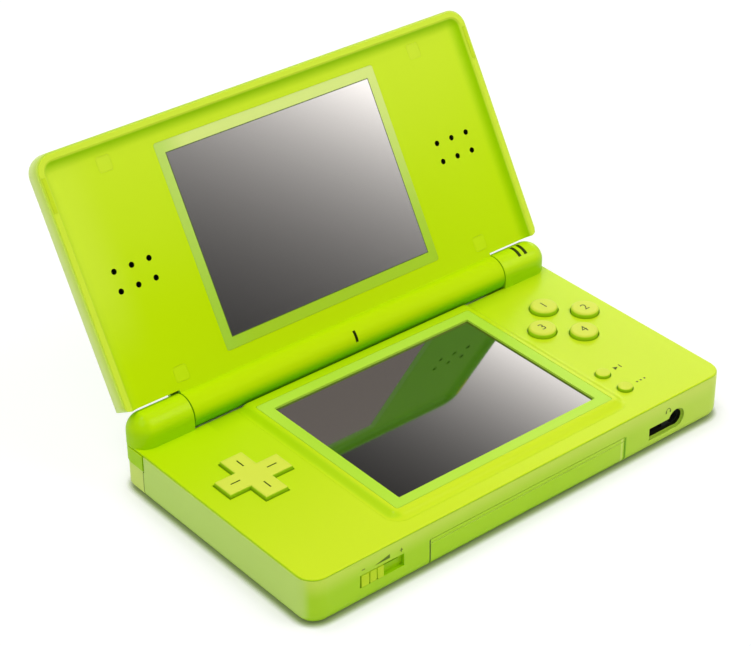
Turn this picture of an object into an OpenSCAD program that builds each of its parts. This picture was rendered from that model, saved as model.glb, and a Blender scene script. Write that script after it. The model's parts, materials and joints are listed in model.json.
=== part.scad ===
// Clamshell handheld game console with two screens, shown with its lid open.
// Sizes are in millimetres. +X is right, +Y is back, +Z is up.
// The origin is the centre of the underside, on the surface it stands on.

/* [Case] */
// Width of the case
body_w = 133; // [128:0.5:142]
// Depth of the closed case
body_d = 73.9; // [72:0.1:80]
// Radius of the upright corners of both halves
corner_r = 4.8; // [4.6:0.1:6]
// Height of the lower shell's wall
shell_h = 12.6; // [12.3:0.1:14]
// Radius round the bottom edge of the lower shell
bottom_edge_r = 2.8; // [1.8:0.1:3.4]
// Thickness of the side walls
wall_t = 1.6; // [1.4:0.1:1.8]
// Thickness of the lower shell's floor
floor_t = 1.2; // [1:0.1:1.3]
// Radius along the inner edge of the floor
inner_edge_r = 0.5; // [0.2:0.1:0.5]
// Height of the deck's top above the lower shell's wall
deck_rise = 0.4; // [0.35:0.05:0.6]
// Thickness of the deck plate
deck_t = 1.3; // [1.1:0.1:1.5]
// Step in from the shell's side to the deck's side
deck_inset = 0.2; // [0.1:0.05:0.4]
// Radius along the top edge of the deck
deck_edge_r = 0.25; // [0.1:0.05:0.3]
// Gap between a plate's lower part and the walls round it
plug_gap = 0.05; // [0.03:0.01:0.08]
// Height of the seam groove between shell and deck
seam_gap = 0.12; // [0.05:0.01:0.16]
// Depth of the seam groove
seam_deep = 0.5; // [0.3:0.1:0.8]

/* [Raised screen surround] */
// Height of the surround above the deck
surround_h = 1.1; // [0.9:0.1:1.4]
// Width of its rounded slope
surround_slope = 3.3; // [2.6:0.1:3.8]
// Width of its flat rim outside the screen frame
surround_rim = 0.35; // [0.2:0.05:0.6]
// Radius of its upper corners
surround_r = 1.2; // [0.8:0.1:1.6]
// Small upright foot of the slope
surround_foot = 0.04; // [0.02:0.01:0.08]

/* [Screens] */
// Width of the lower screen's frame
frame_w = 69.2; // [68.6:0.1:71]
// Depth of the lower screen's frame
frame_d = 53.6; // [53:0.1:55]
// Thickness of the lower screen's frame
frame_t = 0.6; // [0.5:0.05:0.8]
// Width of the frame's border round the picture
frame_border = 3.1; // [2.9:0.05:3.3]
// Gap between the frame and the hinge trough
frame_back = 2.45; // [2.3:0.05:2.9]
// Distance of the picture's middle in front of the frame's middle
picture_shift = 0.12; // [0:0.02:0.2]
// Thickness of the touch panel
touch_t = 0.6; // [0.5:0.05:0.8]
// Step from the picture's edge to the edge of a display module
display_edge = 1.5; // [1.3:0.05:1.6]
// Step from the picture's edge to the edge of the upper window
window_edge = 0.8; // [0.6:0.05:1]
// Width of the upper lens's border at its sides
lens_side = 2.7; // [2.5:0.05:3]
// Width of the upper lens's border at its ends
lens_end = 3.05; // [2.9:0.05:3.3]
// Thickness of the upper lens
lens_t = 0.8; // [0.6:0.1:0.9]
// Thickness of the upper display module
upper_display_t = 2.5; // [2:0.1:3]
// Distance of the upper lens's middle from the hinge axis
lens_mid = 36; // [35:0.2:37]
// Gap round the display module and the touch panel
display_gap = 0.2; // [0.1:0.05:0.3]
// Gap round the lower screen's frame
frame_gap = 0.1; // [0.05:0.01:0.15]
// Gap round the upper lens
lens_gap = 0.05; // [0.03:0.01:0.1]

/* [Hinge] */
// Radius of the hinge barrel and of the knuckles beside it
barrel_r = 4.65; // [4.5:0.05:4.75]
// Height of the hinge axis
hinge_z = 16; // [15.8:0.1:17]
// Distance from the case's side to the barrel's end
knuckle_room = 16.2; // [14.5:0.1:18.5]
// Gap between the barrel's ends and the knuckles
barrel_end_gap = 0.35; // [0.3:0.05:0.5]
// Gap between the barrel and its trough
trough_gap = 0.5; // [0.4:0.05:0.7]
// Depth of the trough's shelf below the hinge axis
shelf_drop = 5.6; // [5.6:0.1:5.8]
// Thickness of the trough
trough_t = 1; // [0.8:0.1:1]
// Radius of the hinge shaft
hinge_pin_r = 1.8; // [1.5:0.1:2]
// Radius of the sleeve that turns on the shaft
sleeve_r = 2.9; // [2.7:0.1:3.1]
// Length of the sleeve and of the shaft in it
sleeve_len = 14; // [10:0.5:18]
// Radius of the hollow bush on the other side
bush_r = 2.9; // [2.7:0.1:3.1]
// Radius of the cable way through the bush
bush_bore_r = 1.9; // [1.6:0.1:2.1]
// Length of the bush in the barrel
bush_len = 8; // [6:0.5:12]
// Depth of the shaft's bore in the knuckle
shaft_seat = 8; // [6:0.5:9]
// Depth of the bush's bore in the other knuckle
bush_seat = 5; // [4:0.5:5.5]
// Depth of the cable's room behind the bush
cable_room = 2; // [1.5:0.1:3]
// Gap at the inner ends of pieces in a bore
end_gap = 0.5; // [0.3:0.1:0.6]
// Width of the light pipes in the right knuckle
pipe_w = 1; // [0.8:0.1:1.2]
// Distance between the two light pipes
pipe_pitch = 2.15; // [1.8:0.05:2.5]
// Distance of the outer light pipe from the middle of the knuckle's dome
pipe_side = 2.35; // [2:0.05:3]
// Thickness of the light pipes
pipe_deep = 1.2; // [0.9:0.1:1.5]
// Turn of the light pipes round the knuckle, in degrees
pipe_turn = 52; // [30:1:70]
// Where they begin, in degrees behind the top of the knuckle
pipe_back = 14; // [0:1:30]
// Radial clearance of the turning parts
turn_clear = 0.05; // [0.03:0.01:0.08]
// Radial clearance of pieces that are fixed in a bore
seat_clear = 0.02; // [0.01:0.01:0.03]

/* [Lid] */
// Angle between the closed lid and the lid as shown
lid_open = 120.78; // [100:0.02:135]
// Distance from the hinge axis to the far edge of the lid
lid_far = 69.3; // [67:0.1:74]
// Distance from the hinge axis to the lid's near edge beside the barrel
lid_near = 5.3; // [5.1:0.1:5.6]
// Height of the lid's inner face over the hinge axis
lid_floor = 1.35; // [1.3:0.05:1.5]
// Height of the lid's rim over the hinge axis
lid_rim = 2.7; // [2.65:0.01:2.7]
// Depth of the lid's outer face below the hinge axis
lid_back = 5.5; // [5.4:0.1:5.7]
// Radius round the lid's outer edge
lid_edge_r = 4.5; // [3.5:0.1:4.55]
// Thickness of the lid's outer face
lid_back_t = 1.4; // [1.2:0.1:1.5]
// Thickness of the lid's inner plate
bezel_t = 1.2; // [1:0.1:1.3]
// Step in from the lid's side to its rim
rim_inset = 0.4; // [0.3:0.05:0.6]
// Width of the flat rim
rim_w = 1.4; // [1.2:0.1:1.6]
// Radius of the hollow between rim and inner face
dish_r = 4; // [3.5:0.1:4.5]
// Height of the rim piece over the lid shell's wall
rim_cap = 0.3; // [0.25:0.05:0.4]
// Radius of the lid's corners beside the knuckles
heel_r = 2; // [1:0.1:3]
// Distance of the rim pads from the hinge axis
bumper_near = 55.3; // [50:0.1:56]
// Length of the rim pads
bumper_len = 8.7; // [6:0.1:9]
// Width of the rim pads
bumper_w = 0.9; // [0.6:0.1:1]
// Height of the rim pads over the rim
bumper_rise = 0.12; // [0.05:0.01:0.15]
// Distance of the speakers' middle from the lid's side
speaker_side = 15.7; // [15:0.1:16.5]
// Distance of the speakers' middle from the hinge axis
speaker_y = 35.1; // [33:0.1:37]
// Distance between the holes of a speaker grille
speaker_pitch = 5.03; // [4:0.01:5.3]
// Radius of the holes of a speaker grille
speaker_hole_r = 0.75; // [0.5:0.05:1]
// Radius of the speakers' rim
speaker_r = 8; // [7.5:0.1:8.4]
// Distance of the lid screws from the lid's side
lid_screw_side = 18.2; // [17.8:0.1:18.6]
// Distance of the far lid screws from the lid's far edge
lid_screw_far = 6.95; // [6.8:0.05:7.2]
// Distance of the near lid screws from the hinge axis
lid_screw_near = 8.9; // [8.6:0.1:9.4]
// Radius of the lid screws
lid_screw_r = 0.8; // [0.7:0.05:0.9]
// Radius of the lid screws' heads
lid_head_r = 1.6; // [1.4:0.1:1.6]
// Width of the square covers over the lid screws
screw_cover_w = 3.8; // [3.6:0.1:4]
// Radius of the covers' corners
screw_cover_r = 0.7; // [0.5:0.1:0.9]
// Depth of the covers' seats
screw_cover_t = 0.5; // [0.4:0.05:0.6]

/* [Direction pad] */
// Distance of its middle from the case's side
pad_side = 15; // [14.5:0.1:16]
// Distance of its middle behind the middle of the lower screen's frame
pad_back = 5.2; // [3:0.1:7]
// Length of each bar of the cross
pad_len = 18.2; // [16:0.1:18.6]
// Width of each bar
pad_bar = 6.4; // [5.5:0.1:7]
// Height of the cross above the deck
pad_rise = 1.1; // [0.9:0.05:1.1]
// Radius along the cross's top edges
pad_edge_r = 0.5; // [0.3:0.05:0.7]
// Gap round the cross
pad_gap = 0.35; // [0.3:0.01:0.45]
// Radius of its flange under the deck
pad_flange_r = 10.4; // [10.3:0.1:10.8]
// Room over its flange, more than the buttons have
pad_room = 0.4; // [0.3:0.05:0.45]
// Radius of the post that it rocks on
pad_post_r = 1.5; // [1.2:0.1:2]
// Gap under that post
pad_post_gap = 0.15; // [0.1:0.01:0.2]
// Distance of the lines on its arms from its middle
pad_line_from = 3.9; // [3.6:0.1:4.2]
// Length of the lines on its arms
pad_line_len = 2.8; // [2:0.1:3.2]
// Width of the lines on its arms
pad_line_w = 0.4; // [0.3:0.05:0.6]
// Depth of the lines on its arms
pad_line_deep = 0.25; // [0.15:0.05:0.3]

/* [Buttons] */
// Share of the free width beside the button group that lies on its outer side
buttons_share = 0.21; // [0.1:0.01:0.3]
// Distance of the group's middle behind the middle of the lower screen's frame
buttons_back = 8.1; // [6:0.1:9]
// Distance of each button from the group's middle
button_pitch = 7.6; // [7.2:0.1:8]
// Diameter of the buttons
button_d = 7.4; // [6.8:0.1:7.6]
// Height of the buttons above the deck
button_rise = 1.3; // [1:0.05:1.3]
// Radius along the buttons' top edge
button_edge_r = 0.7; // [0.4:0.05:0.9]
// Gap round the buttons
button_gap = 0.25; // [0.2:0.01:0.3]
// Step of the button flanges under the deck
button_flange = 0.8; // [0.6:0.1:0.9]
// Thickness of the flanges
flange_t = 0.8; // [0.6:0.1:0.9]
// Gap over the flanges at rest
flange_gap = 0.3; // [0.2:0.05:0.35]
// Travel of the buttons
press_travel = 0.8; // [0.5:0.1:0.8]
// Distance of the two small buttons from the screen surround
small_side = 3.3; // [2.8:0.05:4.5]
// Distance of the start button from the case's front
start_front = 18.45; // [17:0.05:20]
// Distance from the start button to the select button
small_pitch = 7.9; // [7:0.1:9]
// Diameter of the small buttons
small_d = 3.8; // [3.2:0.1:4]
// Height of the small buttons above the deck
small_rise = 0.8; // [0.5:0.05:1.2]
// Radius along the small buttons' top edge
small_edge_r = 0.3; // [0.2:0.05:0.4]
// Step of the small buttons' flanges
small_flange = 0.7; // [0.5:0.1:0.9]
// Gap between a pressed button and its rubber dome
dome_gap = 0.15; // [0.1:0.01:0.2]
// Radius of the domes under the round buttons
dome_r = 3; // [2.6:0.1:3.4]
// Radius of the domes under the small buttons
small_dome_r = 1.9; // [1.7:0.1:2.1]
// Radius of the domes under the direction pad
pad_dome_r = 2.2; // [2:0.1:2.3]
// Distance of the pad's domes from its middle
pad_dome_at = 5.5; // [5.2:0.1:5.7]
// Height of the domes under the direction pad
pad_dome_h = 0.35; // [0.3:0.01:0.35]

/* [Shoulder buttons] */
// Height of the shoulder buttons' lower edge
shoulder_z = 8.2; // [7.8:0.1:8.6]
// Length of the shoulder buttons along the case's side
shoulder_side = 9.55; // [9:0.05:10]
// Length of the shoulder buttons along the case's back
shoulder_back = 14.6; // [14.1:0.1:14.8]
// Step in of the case's corner below the shoulder buttons
corner_step = 0.25; // [0.15:0.05:0.3]
// Wall thickness of the shoulder buttons
shoulder_t = 1.3; // [1.1:0.1:1.4]
// Gap round the shoulder buttons
shoulder_gap = 0.3; // [0.25:0.05:0.4]
// Room for the pressed shoulder button
shoulder_room = 0.75; // [0.7:0.05:1]
// Radius of the shoulder pins
shoulder_pin_r = 0.6; // [0.5:0.05:0.7]
// Distance of the shoulder pins from the buttons' inner edge
pin_in = 1.9; // [1.8:0.05:2]
// Distance of the shoulder pins from the back wall
pin_back = 2.2; // [2.1:0.05:2.3]
// Height of the pins' lower end
pin_low = 4; // [3:0.1:5]
// Radius of the bosses under the pins
pin_boss_r = 1.8; // [1.6:0.1:1.9]
// Radius of the springs round the pins
spring_r = 1.3; // [1.2:0.05:1.4]
// Height of the springs
spring_h = 0.9; // [0.7:0.1:0.95]
// Distance of the shoulder switches from the buttons' inner edge
switch_in = 5.1; // [4.8:0.1:5.4]
// Distance of the shoulder switches from the back wall
switch_back = 6.75; // [6.6:0.05:7]
// Width of the shoulder switches
switch_w = 3; // [2.4:0.1:3.4]
// Depth of the shoulder switches
switch_d = 3.4; // [2.6:0.1:3.8]
// Height of the shoulder switches
switch_h = 1.4; // [1.2:0.1:1.5]

/* [Front edge] */
// Half the width of the slot
slot_half = 31.4; // [30:0.1:31.6]
// Lower edge of the slot
slot_z = 1.35; // [1.35:0.05:1.6]
// Upper edge of the slot
slot_top = 8.4; // [7.8:0.1:8.4]
// Thickness of the walls beside the slot's bay
bay_wall_t = 0.6; // [0.5:0.1:0.8]
// Depth of the slot's bay
bay_deep = 20; // [18:0.5:21]
// Gap round the slot cover
cover_gap = 0.2; // [0.15:0.05:0.3]
// Length of the slot cover
cover_len = 18; // [14:0.5:19]
// Depth of the connector behind the bay
connector_d = 5; // [4:0.1:6]
// Number of the connector's contacts
contacts = 16; // [8:1:18]
// Distance between the contacts
contact_pitch = 3.2; // [1.6:0.1:3.3]
// Wall thickness of the slot cover
cover_t = 1; // [0.8:0.1:1.2]
// Height of the ledge line on the cover
cover_ledge = 7; // [6.6:0.1:7.2]
// Height of the ledge line
ledge_h = 0.3; // [0.2:0.05:0.4]
// Depth of the ledge line
ledge_deep = 0.25; // [0.15:0.05:0.4]
// Distance of the volume slot from the case's side
volume_side = 14.3; // [13.9:0.1:14.9]
// Lower edge of the volume slot
volume_z = 4.9; // [4.6:0.1:5]
// Height of the volume slot
volume_h = 3.5; // [3.2:0.1:3.5]
// Depth of the volume slot
volume_deep = 1; // [0.8:0.05:1.1]
// Height of the slit that the volume knob's stem slides in
slit_h = 1.1; // [0.9:0.1:1.2]
// Distance of the slit and of the stem from their outer ends
slit_in = 1.6; // [1.4:0.1:1.8]
// Gap round the volume knob
volume_gap = 0.2; // [0.15:0.05:0.3]
// Length of the volume knob
volume_knob_len = 6.4; // [5.6:0.1:6.6]
// Depth of the volume slider behind the front wall
slider_deep = 4.5; // [3.5:0.1:5]
// Travel of the volume knob
volume_travel = 5.8; // [5:0.1:5.8]
// Distance of the audio opening's round end from the case's side
jack_side = 17; // [16.5:0.1:17.5]
// Height of the round end's middle
jack_z = 6; // [5.8:0.1:6.1]
// Radius of the round end
jack_r = 2.8; // [2.5:0.1:2.9]
// Length of the audio opening's straight part
jack_len = 9.5; // [8.5:0.1:9.6]
// Lower edge of the audio opening's straight part
jack_low = 3.3; // [3.2:0.1:3.6]
// Height of the audio opening's straight part
jack_h = 3.6; // [3.2:0.1:3.8]
// Width of the ledge round the audio opening
jack_ledge = 0.55; // [0.4:0.05:0.7]
// Depth of that ledge
jack_ledge_deep = 0.6; // [0.4:0.1:0.8]
// Depth of the audio socket behind the front wall
jack_deep = 12; // [10:0.5:13]
// Step from the round end's middle to the audio socket's end
jack_end = 4; // [3.2:0.1:4.4]
// Radius of the audio plug's bore
plug_r = 1.8; // [1.75:0.05:1.9]

/* [Inside] */
// Height of the main board's lower face
board_z = 8.5; // [8.45:0.05:8.6]
// Thickness of the main board
board_t = 0.8; // [0.6:0.1:0.8]
// Distance of the board's rear edge from the back wall, for the charging socket
board_back = 6.35; // [6.2:0.05:6.6]
// Gap between the board's edge and the walls
board_gap = 0.9; // [0.7:0.1:1]
// Half the width of the card slot
card_half = 16.6; // [16:0.1:17]
// Lower edge of the card slot
card_z = 2.3; // [2.2:0.1:2.4]
// Height of the card slot
card_h = 4.3; // [4.2:0.1:4.4]
// Depth of the card slot
card_deep = 23; // [21:0.5:23]
// Wall thickness of the card slot's housing
card_t = 0.6; // [0.5:0.1:0.7]
// Thickness of the housing's inner end
card_end_t = 1.5; // [1:0.1:2]
// Distance of the battery from the case's side
battery_side = 5.1; // [4.9:0.1:5.5]
// Gap between the battery and the card slot's housing
battery_in = 5.6; // [5.4:0.1:7]
// Gap between the battery and the connector in front of it
battery_front = 1.95; // [1.7:0.05:2.3]
// Gap between the battery and the screw bosses behind it
battery_back = 0.8; // [0.5:0.1:1.2]
// Thickness of the battery
battery_t = 5.4; // [5:0.1:5.8]
// Step from the battery's edge to its cover's edge
battery_lip = 1.2; // [1:0.1:2]
// Gap round the battery cover
battery_gap = 0.1; // [0.08:0.01:0.2]
// Thickness of the walls round the battery
battery_wall = 0.8; // [0.6:0.1:0.8]
// Height of those walls' top
battery_wall_top = 5; // [4:0.1:6]
// Distance of the battery cover's screw from the battery's inner end
cover_screw_in = 5; // [4:0.5:7]
// Radius of the tab that the battery cover's screw holds
cover_tab_r = 3; // [2.8:0.1:3.2]
// Distance of the flexible cable from the barrel's end
cable_in = 15.3; // [12:0.1:18]
// Width of the flexible cable
cable_w = 6; // [5:0.5:8]
// Thickness of the flexible cable
cable_t = 0.15; // [0.1:0.01:0.2]
// Radius of the rolled cable in the barrel
cable_roll_r = 1.2; // [1:0.1:1.4]
// Depth of the flat cable below the hinge axis
cable_drop = 4.3; // [4.2:0.05:4.35]
// Distance of the cable's end from the hinge axis
cable_reach = 14; // [10:0.5:16]
// Length of the rolled cable
cable_roll_len = 13; // [8:0.5:14]
// Width of the cable's strip into the roll
cable_strip_w = 4; // [3:0.5:5]
// Radius of the case screws
screw_r = 0.85; // [0.8:0.05:0.95]
// Radius of the screw heads
screw_head_r = 1.7; // [1.5:0.1:1.8]
// Height of the screw heads
screw_head_h = 1; // [0.8:0.1:1.2]
// Clearance round a screw's head
head_clear = 0.3; // [0.2:0.05:0.35]
// Clearance round a screw's shank
shank_clear = 0.15; // [0.1:0.01:0.18]
// Radius of the screw bosses
boss_r = 2.4; // [2.2:0.1:2.5]
// Height of the screw heads' seat
screw_seat = 2.4; // [2:0.1:2.6]
// Distance of the corner screws from the case's side
screw_side = 5.5; // [5.4:0.1:5.8]
// Distance of the front screws from the front wall
screw_front = 3.85; // [3.7:0.05:4.2]
// Distance of the rear screws from the back wall
screw_back = 8.95; // [8.8:0.05:9.2]
// Distance of the middle screws from the front wall
screw_mid = 23.35; // [23:0.05:23.8]
// Distance of the middle screws from the screen's frame
screw_in = 2.3; // [2.2:0.1:3]
// Gap between the card slot's housing and the charging socket
charge_in = 11; // [10:0.5:13]
// Width of the charging socket
charge_w = 7.6; // [7:0.1:8]
// Depth of the charging socket
charge_deep = 7; // [6:0.1:8]
// Lower edge of the charging socket's opening
charge_z = 3.4; // [3.2:0.1:3.6]
// Height of the charging socket's opening
charge_h = 2.6; // [2.4:0.1:2.8]
// Wall thickness of the charging socket
charge_t = 1; // [0.8:0.1:1.2]
// Distance of the strap holes from the case's side
strap_side = 24.5; // [24:0.1:26]
// Width of each strap hole
strap_w = 2.2; // [1.8:0.1:2.4]
// Width of the bar between the strap holes
strap_bar = 1.4; // [1.2:0.1:2]
// Distance of the wireless module from the case's side
radio_side = 9.5; // [9:0.1:11]
// Distance of the wireless module from the front wall
radio_front = 13.35; // [13:0.05:14]
// Depth of the wireless module
radio_d = 16.5; // [14:0.1:17]
// Thickness of the wireless module
radio_t = 2.6; // [2:0.1:2.8]

/* [Stylus and power switch] */
// Gap between the stylus's tip and the battery
stylus_in = 1.8; // [1.6:0.1:3]
// Radius of the stylus
stylus_r = 2.3; // [2.1:0.05:2.4]
// Radius of the stylus holder's bore
stylus_bore_r = 2.6; // [2.55:0.05:2.7]
// Wall thickness of the stylus holder
stylus_tube_t = 0.6; // [0.5:0.1:0.7]
// Gap between the stylus holder and the card slot's housing
stylus_gap = 0.05; // [0.03:0.01:0.3]
// Radius of the stylus's tip
tip_r = 0.9; // [0.7:0.1:1.1]
// Length of the stylus's tapered end
taper_len = 5; // [3:0.5:8]
// Height of the stylus
stylus_z = 4.8; // [4.6:0.1:4.9]
// Distance of the power knob in front of the stylus
power_front = 14.6; // [13:0.1:16]
// Height of the power knob's middle
power_z = 6.6; // [6.4:0.1:6.8]
// Length of the power knob
power_len = 6; // [5:0.1:7]
// Height of the power knob
power_h = 2.2; // [1.8:0.1:2.4]
// Travel of the power knob
power_travel = 2; // [1.5:0.1:2.2]

/* [Hidden] */
$fn = 64;
far = 200;
deck_z = shell_h + deck_rise;
deck_low = deck_z - deck_t;
surround_z = deck_z + surround_h;
hinge_y = body_d / 2 - barrel_r;
barrel_half = body_w / 2 - knuckle_room;
knuckle_x = barrel_half + barrel_end_gap;
knuckle_end = body_w / 2 - barrel_r;
trough_r = barrel_r + trough_gap;
shelf_z = hinge_z - shelf_drop;
board_top = board_z + board_t;
glass_z = surround_z - frame_t;
seat_z = glass_z - touch_t;
inner_front = -body_d / 2 + wall_t;
inner_back = body_d / 2 - wall_t;
frame_y = hinge_y - trough_r - frame_back - frame_d / 2;
screen_y = frame_y - picture_shift;
view_w = frame_w - 2 * frame_border;
view_h = frame_d - 2 * frame_border;
display_w = view_w + 2 * display_edge;
display_h = view_h + 2 * display_edge;
lens_w = view_w + 2 * lens_side;
lens_h = view_h + 2 * lens_end;
surround_half = frame_w / 2 + surround_rim + surround_slope;
flange_top = deck_low - flange_gap;
pad_x = body_w / 2 - pad_side;
pad_y = frame_y + pad_back;
pad_low = flange_top - pad_room - flange_t;
group_in = button_pitch + button_d / 2;
group_out = group_in + button_flange;
side_free = body_w / 2 - wall_t - frame_w / 2 - group_in - group_out;
buttons_x = body_w / 2 - wall_t - group_out - buttons_share * side_free;
buttons_y = frame_y + buttons_back;
button_places = [[0, button_pitch], [button_pitch, 0], [-button_pitch, 0], [0, -button_pitch]];
small_x = surround_half + small_side;
start_y = -body_d / 2 + start_front;
shoulder_top = shell_h - 0.2;
shoulder_front = body_d / 2 - shoulder_side;
shoulder_in = body_w / 2 - shoulder_back;
shoulder_pin = [shoulder_in + pin_in, inner_back - pin_back];
light_x = [knuckle_end - pipe_side - pipe_pitch, knuckle_end - pipe_side];
volume_x = body_w / 2 - volume_side;
volume_len = volume_knob_len + volume_travel + 4 * volume_gap;
volume_top = volume_z + volume_h;
jack_x = body_w / 2 - jack_side;
jack_left = jack_x - jack_len;
card_out = card_half + card_t;
connector_y = inner_front + bay_deep;
battery_x = body_w / 2 - battery_side;
battery_right = -card_out - battery_in;
battery_len = battery_x + battery_right;
battery_y = connector_y + connector_d + battery_front;
battery_wide = inner_back - screw_back - boss_r - battery_back - battery_y;
battery_mid = [battery_right - battery_len / 2, battery_y + battery_wide / 2];
battery_screw = [battery_right - cover_screw_in, battery_y + battery_wide + cover_tab_r + 0.4];
stylus_y = inner_back - card_deep - card_end_t - stylus_gap - stylus_bore_r - stylus_tube_t;
power_y = stylus_y - power_front;
charge_x = card_out + charge_in;
cable_x = cable_in - barrel_half;
cover_z = slot_z + cover_gap;
cover_top = slot_top - cover_gap;
cover_half = slot_half - cover_gap;
lid_u = lid_far - corner_r;
bezel_low = lid_floor - bezel_t;
lens_recess = lid_floor - lens_t;
cap_low = lid_rim - rim_cap;
dish_w = sqrt(dish_r * dish_r - pow(dish_r - (lid_rim - lid_floor), 2));
screw_x = body_w / 2 - screw_side;
screw_mid_x = frame_w / 2 + screw_in;
front_screw_y = inner_front + screw_front;
mid_screw_y = inner_front + screw_mid;
rear_screw_y = inner_back - screw_back;
screws_at = [
    [screw_x, front_screw_y], [-screw_x, front_screw_y], [screw_mid_x, mid_screw_y],
    [-screw_mid_x, mid_screw_y], [screw_x, rear_screw_y], [-screw_x, rear_screw_y]
];
speaker_x = body_w / 2 - speaker_side;
lid_screw_x = body_w / 2 - lid_screw_side;
lid_screws_at = [
    [lid_screw_x, lid_far - lid_screw_far], [-lid_screw_x, lid_far - lid_screw_far],
    [lid_screw_x, lid_screw_near], [-lid_screw_x, lid_screw_near]
];
body_green = [0.82, 0.93, 0.18];
shell_green = [0.70, 0.82, 0.40];
frame_green = [0.73, 0.92, 0.35];
button_green = [0.86, 0.91, 0.36];

// Flat shapes

module round_rect(w, d, r) {
    square([w - 2 * r, d], center = true);
    square([w, d - 2 * r], center = true);
    for (x = [-1, 1], y = [-1, 1])
        translate([x * (w / 2 - r), y * (d / 2 - r)]) circle(r);
}

module plate(w, d, r, z0, z1, y = 0) {
    translate([0, y, z0]) linear_extrude(z1 - z0) round_rect(w, d, r);
}

// A box given by its lowest and highest corner
module block(low, high) {
    translate(low) cube(high - low);
}

// An upright cylinder or tube from one height to another
module post(x, y, r, z0, z1) {
    translate([x, y, z0]) cylinder(h = z1 - z0, r = r);
}

// A cylinder along X from one place to another
module rod_x(x0, x1, y, z, r) {
    translate([x0, y, z]) rotate([0, 90, 0]) cylinder(h = x1 - x0, r = r);
}

// A cylinder along Y from one place to another
module rod_y(x, y0, y1, z, r) {
    translate([x, y1, z]) rotate([90, 0, 0]) cylinder(h = y1 - y0, r = r);
}

// Both sides: the piece as drawn and its mirror image
module both_sides() {
    children();
    mirror([1, 0, 0]) children();
}

// Wall profiles: x runs outwards from the centre of the corner, y is the height

// A solid edge with a round of radius e along its lower outer side
module low_round(r, z0, z1, e) {
    translate([0, z0 + e]) square([r, z1 - z0 - e]);
    translate([0, z0]) square([r - e, e]);
    translate([r - e, z0 + e]) intersection() {
        circle(e);
        translate([0, -e]) square(e);
    }
}

// A solid edge with a round of radius e along its upper outer side
module high_round(r, z0, z1, e) {
    translate([0, z0 + z1]) mirror([0, 1]) low_round(r, z0, z1, e);
}

// The soft slope of the screen surround: a round shoulder over a hollow foot
module slope_profile() {
    h = surround_h - surround_foot;
    bend_r = (surround_slope * surround_slope + h * h) / (4 * h);
    half = surround_slope / 2;
    translate([0, deck_z - 0.3]) square([surround_r + surround_slope, 0.3 + surround_foot]);
    translate([0, deck_z + surround_foot]) {
        square([surround_r, h]);
        intersection() {
            translate([surround_r, 0]) square([half, h]);
            translate([surround_r, h - bend_r]) circle(bend_r);
        }
        difference() {
            translate([surround_r + half, 0]) square([half, h / 2]);
            translate([surround_r + surround_slope, bend_r]) circle(bend_r);
        }
    }
}

// The lid's raised rim with its hollow towards the inner face
module rim_profile() {
    rim_out = corner_r - rim_inset;
    dish_from = rim_out - rim_w - dish_w;
    difference() {
        union() {
            translate([0, bezel_low]) square([corner_r - wall_t - plug_gap, cap_low - bezel_low]);
            high_round(rim_out, cap_low, lid_rim, 0.2);
        }
        intersection() {
            translate([dish_from, lid_floor + dish_r]) circle(dish_r);
            translate([0, 0]) square([rim_out, far]);
        }
    }
}

// Runs a wall profile round a plate with round corners.
// An open run leaves out the near end and its corners.
module run_round(w, near, end, r, closed = true) {
    side_x = w / 2 - r;
    side_from = closed ? near + r : near;
    side_to = end - r;
    for (s = [0, 1])
        mirror([s, 0, 0]) {
            translate([side_x, side_to, 0]) rotate([90, 0, 0])
                linear_extrude(side_to - side_from) children();
            translate([side_x, side_to, 0]) rotate_extrude(angle = 90) children();
            if (closed)
                translate([side_x, side_from, 0]) rotate([0, 0, -90])
                    rotate_extrude(angle = 90) children();
        }
    translate([-side_x, side_to, 0]) rotate([90, 0, 90]) linear_extrude(2 * side_x) children();
    if (closed)
        translate([-side_x, side_from, 0]) mirror([0, 1, 0]) rotate([90, 0, 90])
            linear_extrude(2 * side_x) children();
}

// Lower case

module case_solid(inset, z0, z1, e) {
    r = corner_r - inset;
    w = body_w - 2 * inset;
    d = body_d - 2 * inset;
    run_round(w, -d / 2, d / 2, r) low_round(r, z0, z1, e);
    block([-w / 2 + r, -d / 2 + r, z0], [w / 2 - r, d / 2 - r, z1]);
}

// The corner strip that a shoulder button fills, on the right
module shoulder_strip(inset, t, grow) {
    r = corner_r - inset;
    intersection() {
        difference() {
            round_rect(body_w - 2 * inset, body_d - 2 * inset, r);
            round_rect(body_w - 2 * (inset + t), body_d - 2 * (inset + t), max(r - t, 0.5));
        }
        translate([shoulder_in - grow, shoulder_front - 2 * grow]) square(far);
    }
}

// The outline of the audio opening, cut along Y
module keyhole(y0, y1, grow) {
    block([jack_left - grow, y0, jack_low - grow], [jack_x, y1, jack_low + jack_h + grow]);
    rod_y(jack_x, y0, y1, jack_z, jack_r + grow);
}

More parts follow.
